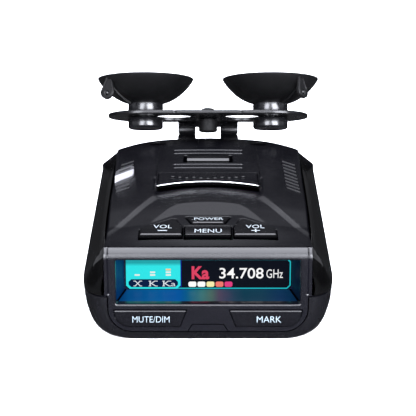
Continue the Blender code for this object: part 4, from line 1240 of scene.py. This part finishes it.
def build_display():
    lit("screen_back", chamfered(-23.2, 23.45, 10.95, 20.0, 0.9), (9, 14, 26), 0)
    left, right, low, high, line = -23.05, 23.25, 11.0, 19.8, 0.32
    rim = chamfered(left, right, low, high, 1.0, 0.7)
    hole = chamfered(left + line, right - line, low + line, high - line, 0.8, 0.6)
    face = PANEL_FACE + LAYER
    part = slab([rim, hole[::-1]], [(0.0, face), (0.0, face + LAYER_T)], facing)
    make("screen_frame", *part, glow("frame_light", srgb(30, 190, 200)))
    lit("screen_blue_edge", chamfered(-7.75, -7.45, 11.5, 19.6, 0.1), (15, 40, 150), 2)
    # The bands darken towards their top: painted shade under the bezel's rolled lip.
    lit("screen_bands", chamfered(-23.05, -7.75, 11.0, 19.9, 1.0), (47, 232, 234), 2,
        (17.7, 18.7, srgb(30, 160, 165)))
    lit("bands_pill", chamfered(-22.35, -8.45, 11.5, 13.85, 0.75, 0.75), (6, 28, 66), 3)
    for i, x in enumerate((-19.9, -15.55, -11.15)):
        for k in range(i + 1):
            tone = (250, 205, 150) if k == 2 else (235, 240, 232)
            lit(f"band_mark_{i}_{k}", rounded_rect((x - 0.72, 14.85 + 0.8 * k),
                                                   (x + 0.72, 15.35 + 0.8 * k), 0.08), tone, 3)
    pale = (228, 234, 240)
    for i, (text, a, b) in enumerate((("X", -20.75, -18.8), ("K", -16.45, -14.4),
                                      ("K", -12.6, -10.6), ("a", -10.35, -9.15))):
        high = 12.75 if text == "a" else 13.4
        lit_text(f"band_name_{i}", text, (a, b, 11.75, high), pale, 4, 0.0)
        for foot in (11.75, 13.2) if text != "a" else ():
            for k, at in enumerate((a + 0.1, b - 0.1)):
                serif = rounded_rect((at - 0.35, foot), (at + 0.35, foot + 0.2), 0.04)
                lit(f"band_serif_{i}_{foot}_{k}", serif, pale, 4)
    lit_text("band_now", "Ka", (-4.6, 0.35, 13.8, 17.7), (222, 66, 98), 3, 0.034)
    lit_text("frequency", "34.708", (3.2, 15.6, 14.05, 17.2), (255, 255, 255), 3, 0.008)
    lit_text("unit", "GHz", (16.4, 21.05, 14.2, 16.8), (245, 245, 245), 3, 0.002)
    for i, tone in enumerate(((255, 255, 255), (255, 255, 255), (250, 240, 175),
                              (243, 122, 110), (226, 62, 128))):
        x = -5.5 + 2.54 * i
        lit(f"signal_{i}", rounded_rect((x, 11.6), (x + 2.22, 13.15), 0.55), tone, 3)


build_display()


# ---- nose window

def build_window():
    outer = OUTER_R + 0.12
    sweep = math.degrees(math.asin(26.0 / OUTER_R))
    section = rounded([(-1.6, 15.0), (0.0, 15.0), (0.0, 22.6), (-1.6, 22.6)], 0.5, 4)
    rings = []
    for a in np.radians(np.linspace(90 - sweep, 90 + sweep, 60)):
        rings.append([((outer + r) * math.cos(a), HALF_L - OUTER_R + (outer + r) * math.sin(a), z)
                      for r, z in section])
    make("nose_window", *loft(rings), WINDOW, "housing", ["front_window"])


build_window()


# ---- bracket and cups

STEEL_T, TONGUE_Z, TONGUE_IN, BEND_Y, BEND_R = 1.2, 27.6, 16.0, 70.0, 3.0
PLATE_TILT, PLATE_DEPTH, PLATE_R, SEAT_X = math.radians(19.5), 25.6, 12.8, 21.5
PRONG_IN, PRONG_OUT = 4.4, 10.6
KEYHOLE_X, KEYHOLE_R, SEAT_R, BUMPER_S = 11.7, 7.3, 4.4, 9.0
NECK_R = 6.0
CRIMP = Vector((BEND_Y + 1.7, TONGUE_Z + 0.5))      # where the prongs are pinched, in y and z


def plate_frame(x, s, h=0.0):
    c, k = math.cos(PLATE_TILT), math.sin(PLATE_TILT)
    y0, z0 = BEND_Y + BEND_R * k, TONGUE_Z + BEND_R + BEND_R * c
    return (x, y0 - s * c + h * k, z0 + s * k + h * c)


def plate_matrix(x, s):
    c, k = math.cos(PLATE_TILT), math.sin(PLATE_TILT)
    p = plate_frame(x, s)
    return Matrix(((1, 0, 0, p[0]), (0, c, k, p[1]), (0, -k, c, p[2]), (0, 0, 0, 1)))


def square_to(path, i, section):
    """A section set square to the (y, z) path at one of its points."""
    (y, z), a, b = path[i], path[max(i - 1, 0)], path[min(i + 1, len(path) - 1)]
    d = (Vector(b) - Vector(a)).normalized()
    return [(x, y - d.y * h, z + d.x * h) for x, h in section]


def build_bracket():
    half = STEEL_T / 2
    right = arc((SEAT_X, PLATE_R), PLATE_R, -90, 90, 36)
    notch = [(11.9, PLATE_DEPTH), (11.75, PLATE_DEPTH - 0.35), (11.2, PLATE_DEPTH - 0.6),
             (10.65, PLATE_DEPTH - 0.35), (10.5, PLATE_DEPTH)]
    outline = right + notch + mirrored(notch) + mirrored(right)
    turn = math.degrees(math.asin(SEAT_R / KEYHOLE_R))
    hole = arc((SEAT_X, PLATE_R), SEAT_R, -90, 90, 20)
    hole += arc((KEYHOLE_X, PLATE_R - 0.9), KEYHOLE_R, turn, 360 - turn, 44)
    bore = circle(2.3, 32, (0.0, BUMPER_S))
    plate = slab([outline, hole[::-1], mirrored(hole)[::-1], bore[::-1]],
                 [(-0.22, -half), (-0.06, -half + 0.06), (0.0, -half + 0.22), (0.0, half - 0.22),
                  (-0.06, half - 0.06), (-0.22, half)], plate_frame)
    parts = [plate]
    sweep = arc((BEND_Y, TONGUE_Z + BEND_R), BEND_R, -90, 90 - math.degrees(PLATE_TILT), 26)
    line = [(y, TONGUE_Z) for y in np.linspace(TONGUE_IN, BEND_Y - 0.5, 20)]
    path = line + sweep + [plate_frame(0, 0.8)[1:], plate_frame(0, 2.2)[1:]]
    for side in (-1, 1):
        rings = []
        for i, point in enumerate(path):
            pinch = 0.7 * math.exp(-((Vector(point) - CRIMP).length / 0.6) ** 2)
            section = rounded_rect((PRONG_IN, -half), (PRONG_OUT - pinch, half), 0.2, 3)
            rings.append(square_to(path, i, [(x * side, h) for x, h in section]))
        parts.append(loft(rings))
    section = rounded_rect((-PRONG_IN - 0.3, -half + 0.02), (PRONG_IN + 0.3, half - 0.02), 0.1, 2)
    parts.append(loft([square_to(path, i, section) for i, (y, z) in enumerate(path)
                       if z >= TONGUE_Z + BEND_R or i >= len(path) - 2]))
    make("bracket_steel_part", *join(*parts), STEEL, "bracket", ["bracket"], angle=30)
    groove = half + 0.12
    dome = [(3.3 * math.cos(math.radians(a)), 1.2 + 2.2 * math.sin(math.radians(a)))
            for a in np.linspace(0, 89.5, 14)]
    profile = [(0.02, -5.1), (2.5, -5.1), (3.0, -4.9), (3.2, -4.5), (3.2, -groove - 0.2),
               (3.0, -groove), (2.1, -groove), (2.1, groove), (3.3, groove)] + dome
    make("bumper_stop", *moved(turned(profile, 64), plate_matrix(0.0, BUMPER_S)), SOFT,
         "bracket", ["bumper"])


build_bracket()


def build_cup(name, side):
    """A suction cup on its grooved neck, with a pull tab, its pin and the rib behind it."""
    groove = STEEL_T / 2 + 0.14
    under = arc((NECK_R - 0.9, -3.6), 0.9, -90, 0, 5)
    profile = [(0.02, -4.2), (3.4, -4.2), (3.6, -4.45), (NECK_R - 0.9, -4.5)] + under
    profile += [(NECK_R, -groove - 0.3), (NECK_R - 0.12, -groove - 0.08), (NECK_R - 0.35, -groove),
                (4.05, -groove), (4.05, groove), (NECK_R - 0.35, groove),
                (NECK_R - 0.12, groove + 0.08), (NECK_R, groove + 0.3), (NECK_R, 4.0),
                (NECK_R - 0.1, 4.35), (NECK_R - 0.4, 4.6), (0.02, 4.7)]
    neck = turned(profile, 96)
    profile = [(0.02, 4.1), (NECK_R - 0.25, 4.15), (NECK_R + 0.15, 4.3)]
    bowl = [(6.2, 4.4), (9.0, 5.4), (11.7, 7.1), (14.0, 9.2), (15.7, 11.3), (16.4, 12.5)]
    xs, ys = zip(*bowl)
    t = np.linspace(0, len(bowl) - 1, 34)
    fit = [np.polyfit(range(len(bowl)), v, 4) for v in (xs, ys)]
    profile += [(float(np.polyval(fit[0], k)), float(np.polyval(fit[1], k))) for k in t]
    profile += [(16.47, 12.62), (16.5, 12.75), (16.4, 12.88), (16.2, 12.86)]
    profile += [(15.4, 12.3), (14.2, 11.3), (12.6, 10.2), (10.6, 9.15), (8.4, 8.25), (6.0, 7.5),
                (3.0, 6.95), (0.02, 6.8)]
    cup = turned(profile, 96)
    around = Matrix.Rotation(math.radians(-50.0 if side < 0 else 39.0), 4, "Z")
    face = Matrix.Rotation(math.radians(22.0 if side < 0 else 14.0), 4, "Z")
    lean = (around @ Matrix.Translation((0, -16.2, 6.7)) @ face
            @ Matrix.Rotation(math.radians(78.0), 4, "X"))
    drop_shape = arc((0.0, 0.2), 2.5, 158, 382, 26) + [(0.55, 6.3), (-0.55, 6.3)]
    drop_shape = rounded(drop_shape, 0.25, 2)
    hole = circle(0.75, 20, (0.0, -0.2))
    tab = slab([drop_shape, hole[::-1]], [(-0.18, -0.55), (0.0, -0.37), (0.0, 0.37),
                                          (-0.18, 0.55)], upright)
    rim = slab([grown(drop_shape, -0.05), grown(drop_shape, -0.5)[::-1]],
               edge_round(0.12, 0.5, 0.78), upright)
    pin = turned([(0.72, -0.3), (0.72, 0.1), (0.45, 0.6), (0.3, 0.75), (0.02, 0.8)], 20)
    pin = moved(pin, Matrix.Translation((0.0, -0.2, 0.0)))
    fin_path = [(-14.8, 9.9), (-12.0, 7.1), (-9.0, 5.1), (-6.6, 4.2)]
    fin = loft([[(x, y, z + k) for x, k in ((-0.3, 0.3), (0.3, 0.3), (0.18, -0.55),
                                            (-0.18, -0.55))] for y, z in fin_path])
    whole = join(cup, moved(fin, around))
    spot, body = plate_matrix(SEAT_X * side, PLATE_R), f"cup_{'left' if side < 0 else 'right'}"
    make(f"{name}_body", *moved(whole, spot), RUBBER, body, [f"suction_{name}"], angle=40)
    make(f"{name}_neck", *moved(neck, spot), NECK, body, angle=40)
    make(f"{name}_tab", *moved(moved(join(tab, rim), lean), spot), RUBBER, body, angle=40)
    make(f"{name}_tab_pin", *moved(moved(pin, lean), spot), NECK, body, angle=40)


build_cup("cup_left", -1)
build_cup("cup_right", 1)


# ---- carried-over nodes

KEPT = {
    BOARD: ["main_board", "top_key_board", "front_key_board", "laser_sensor_board"],
    MOULDED: ["earphone_jack", "power_jack", "usb_port", "speaker_frame", "menu_switch",
              "power_switch", "volume_up_switch", "volume_down_switch", "mark_switch",
              "mute_dim_switch"],
    TIN: ["release_spring", "shield_can", "speaker_magnet"],
    ZINC: ["horn_antenna"], CERAMIC: ["gps_antenna"], FLEX: ["display_ribbon"],
    GLASS: ["oled_panel"], LENS: ["laser_lens"],
}
for material, names in KEPT.items():
    for name in names:
        mesh = frame["nodes"][name].data
        mesh.materials.clear()
        mesh.materials.append(material)


# ---- camera, light, stage

def camera():
    data = bpy.data.cameras.new("camera")
    data.sensor_width, data.lens = 36.0, 126.4327
    data.clip_start, data.clip_end = 0.01, 20.0
    obj = linked("camera", data)
    obj.location = (0.0, -0.434, 0.147)
    obj.rotation_euler = (math.radians(90 - 16.1), 0.0, 0.0)
    bpy.context.scene.camera = obj


COOL = (0.90, 0.92, 1.0)
MIDDLE = (0.0, 0.05, 0.035)
FRONT_LIGHTS = [                  # name, place, size, watts
    ("front_left", (-0.298, -0.589, 0.292), (0.36, 0.42), 10.0),
    ("front_right", (0.373, -0.548, 0.292), (0.50, 0.42), 20.0),
    ("front_middle", (0.0, -0.70, 0.30), (0.20, 0.26), 0.8),
    ("front_high", (0.0, -0.62, 0.58), (0.7, 0.25), 3.3)]
# Flat tops and glossy flanks, which would mirror the front lights when seen from behind.
SHADED = ("top_cover", "vent_", "gloss_panel", "badge", "release", "menu_", "power_",
          "volume_", "screw_seat", "top_screw")


def area_light(name, spot, size, power, aim=MIDDLE):
    data = bpy.data.lights.new(name, "AREA")
    data.shape = "RECTANGLE"
    data.size, data.size_y = size
    data.energy = power
    data.color = COOL
    obj = linked(name, data)
    obj.location = spot
    obj.rotation_euler = (Vector(aim) - Vector(spot)).to_track_quat("-Z", "Y").to_euler()
    return obj


def floor_material():
    """Pale floor that stays evenly bright away from the object."""
    pale = finish("pale_floor", (0.85, 0.85, 0.86), 0.8, mottle=0.01)
    tree = pale.node_tree
    far = tree.nodes.new("ShaderNodeVectorMath")
    far.operation = "LENGTH"
    fill(tree, far, {0: position(tree)})
    lift = mapped(tree, far.outputs["Value"], 0.05, 0.5, 0.45, 1.1)
    fill(tree, tree.nodes["Principled BSDF"], {"Emission Strength": lift,
                                               "Emission Color": rgba((1.0, 1.0, 1.0))})
    return pale


def stage():
    mesh = bpy.data.meshes.new("floor")
    mesh.from_pydata([(-3, -3, 0), (3, -3, 0), (3, 3, 0), (-3, 3, 0)], [], [(0, 1, 2, 3)])
    mesh.materials.append(floor_material())
    floor = linked("floor", mesh)
    floor.visible_glossy = False
    studio_sky()
    area_light("overhead", (0.0, -0.03, 0.75), (0.7, 1.0), 17.0, (0.0, -0.03, 0.0))
    shaded = bpy.data.collections.new("kept_from_front_lights")
    for obj in bpy.context.scene.objects:
        if obj.name.startswith(SHADED) and not obj.name.endswith("_label"):
            shaded.objects.link(obj)
    for member in shaded.collection_objects:
        member.light_linking.link_state = "EXCLUDE"
    for row in FRONT_LIGHTS:
        area_light(*row).light_linking.receiver_collection = shaded


# Brightness of the surroundings by angle over the object: 0 far horizon, 90 overhead, 180 near.
SKY = [(-180, 0.22), (-150, 0.25), (-90, 0.20), (-55, 0.12), (-25, 0.05), (0, 0.045), (18, 0.04),
       (27, 0.055), (33, 0.18), (39, 1.2), (50, 1.2), (120, 0.8), (165, 0.5), (180, 0.22)]


def studio_sky():
    """Soft graded surroundings, which the backdrop itself doesn't show."""
    world = bpy.data.worlds.new("studio")
    bpy.context.scene.world = world
    world.use_nodes = True
    tree = world.node_tree
    way = node(tree, "SeparateXYZ", {"Vector": node(tree, "TexCoord").outputs["Generated"]})
    tip = tree.nodes.new("ShaderNodeMath")
    tip.operation = "ARCTAN2"
    fill(tree, tip, {0: way.outputs["Z"], 1: way.outputs["Y"]})
    turn = mapped(tree, tip.outputs["Value"], -math.pi, math.pi)
    shade = colour_ramp(tree, turn, [((degrees + 180) / 360, rgba((0.93, 0.95, 1.04), level))
                                     for degrees, level in SKY])
    lit_by = fill(tree, tree.nodes["Background"], {"Color": shade, "Strength": 1.0})
    seen_as = node(tree, "Background", {"Color": rgba((1.0, 1.0, 1.0))})
    ray = node(tree, "LightPath").outputs["Is Camera Ray"]
    mix = node(tree, "MixShader", {"Fac": ray, 1: lit_by.outputs["Background"],
                                   2: seen_as.outputs["Background"]})
    fill(tree, tree.nodes["World Output"], {"Surface": mix.outputs["Shader"]})


camera()
stage()
bpy.context.scene.view_settings.view_transform = "Standard"
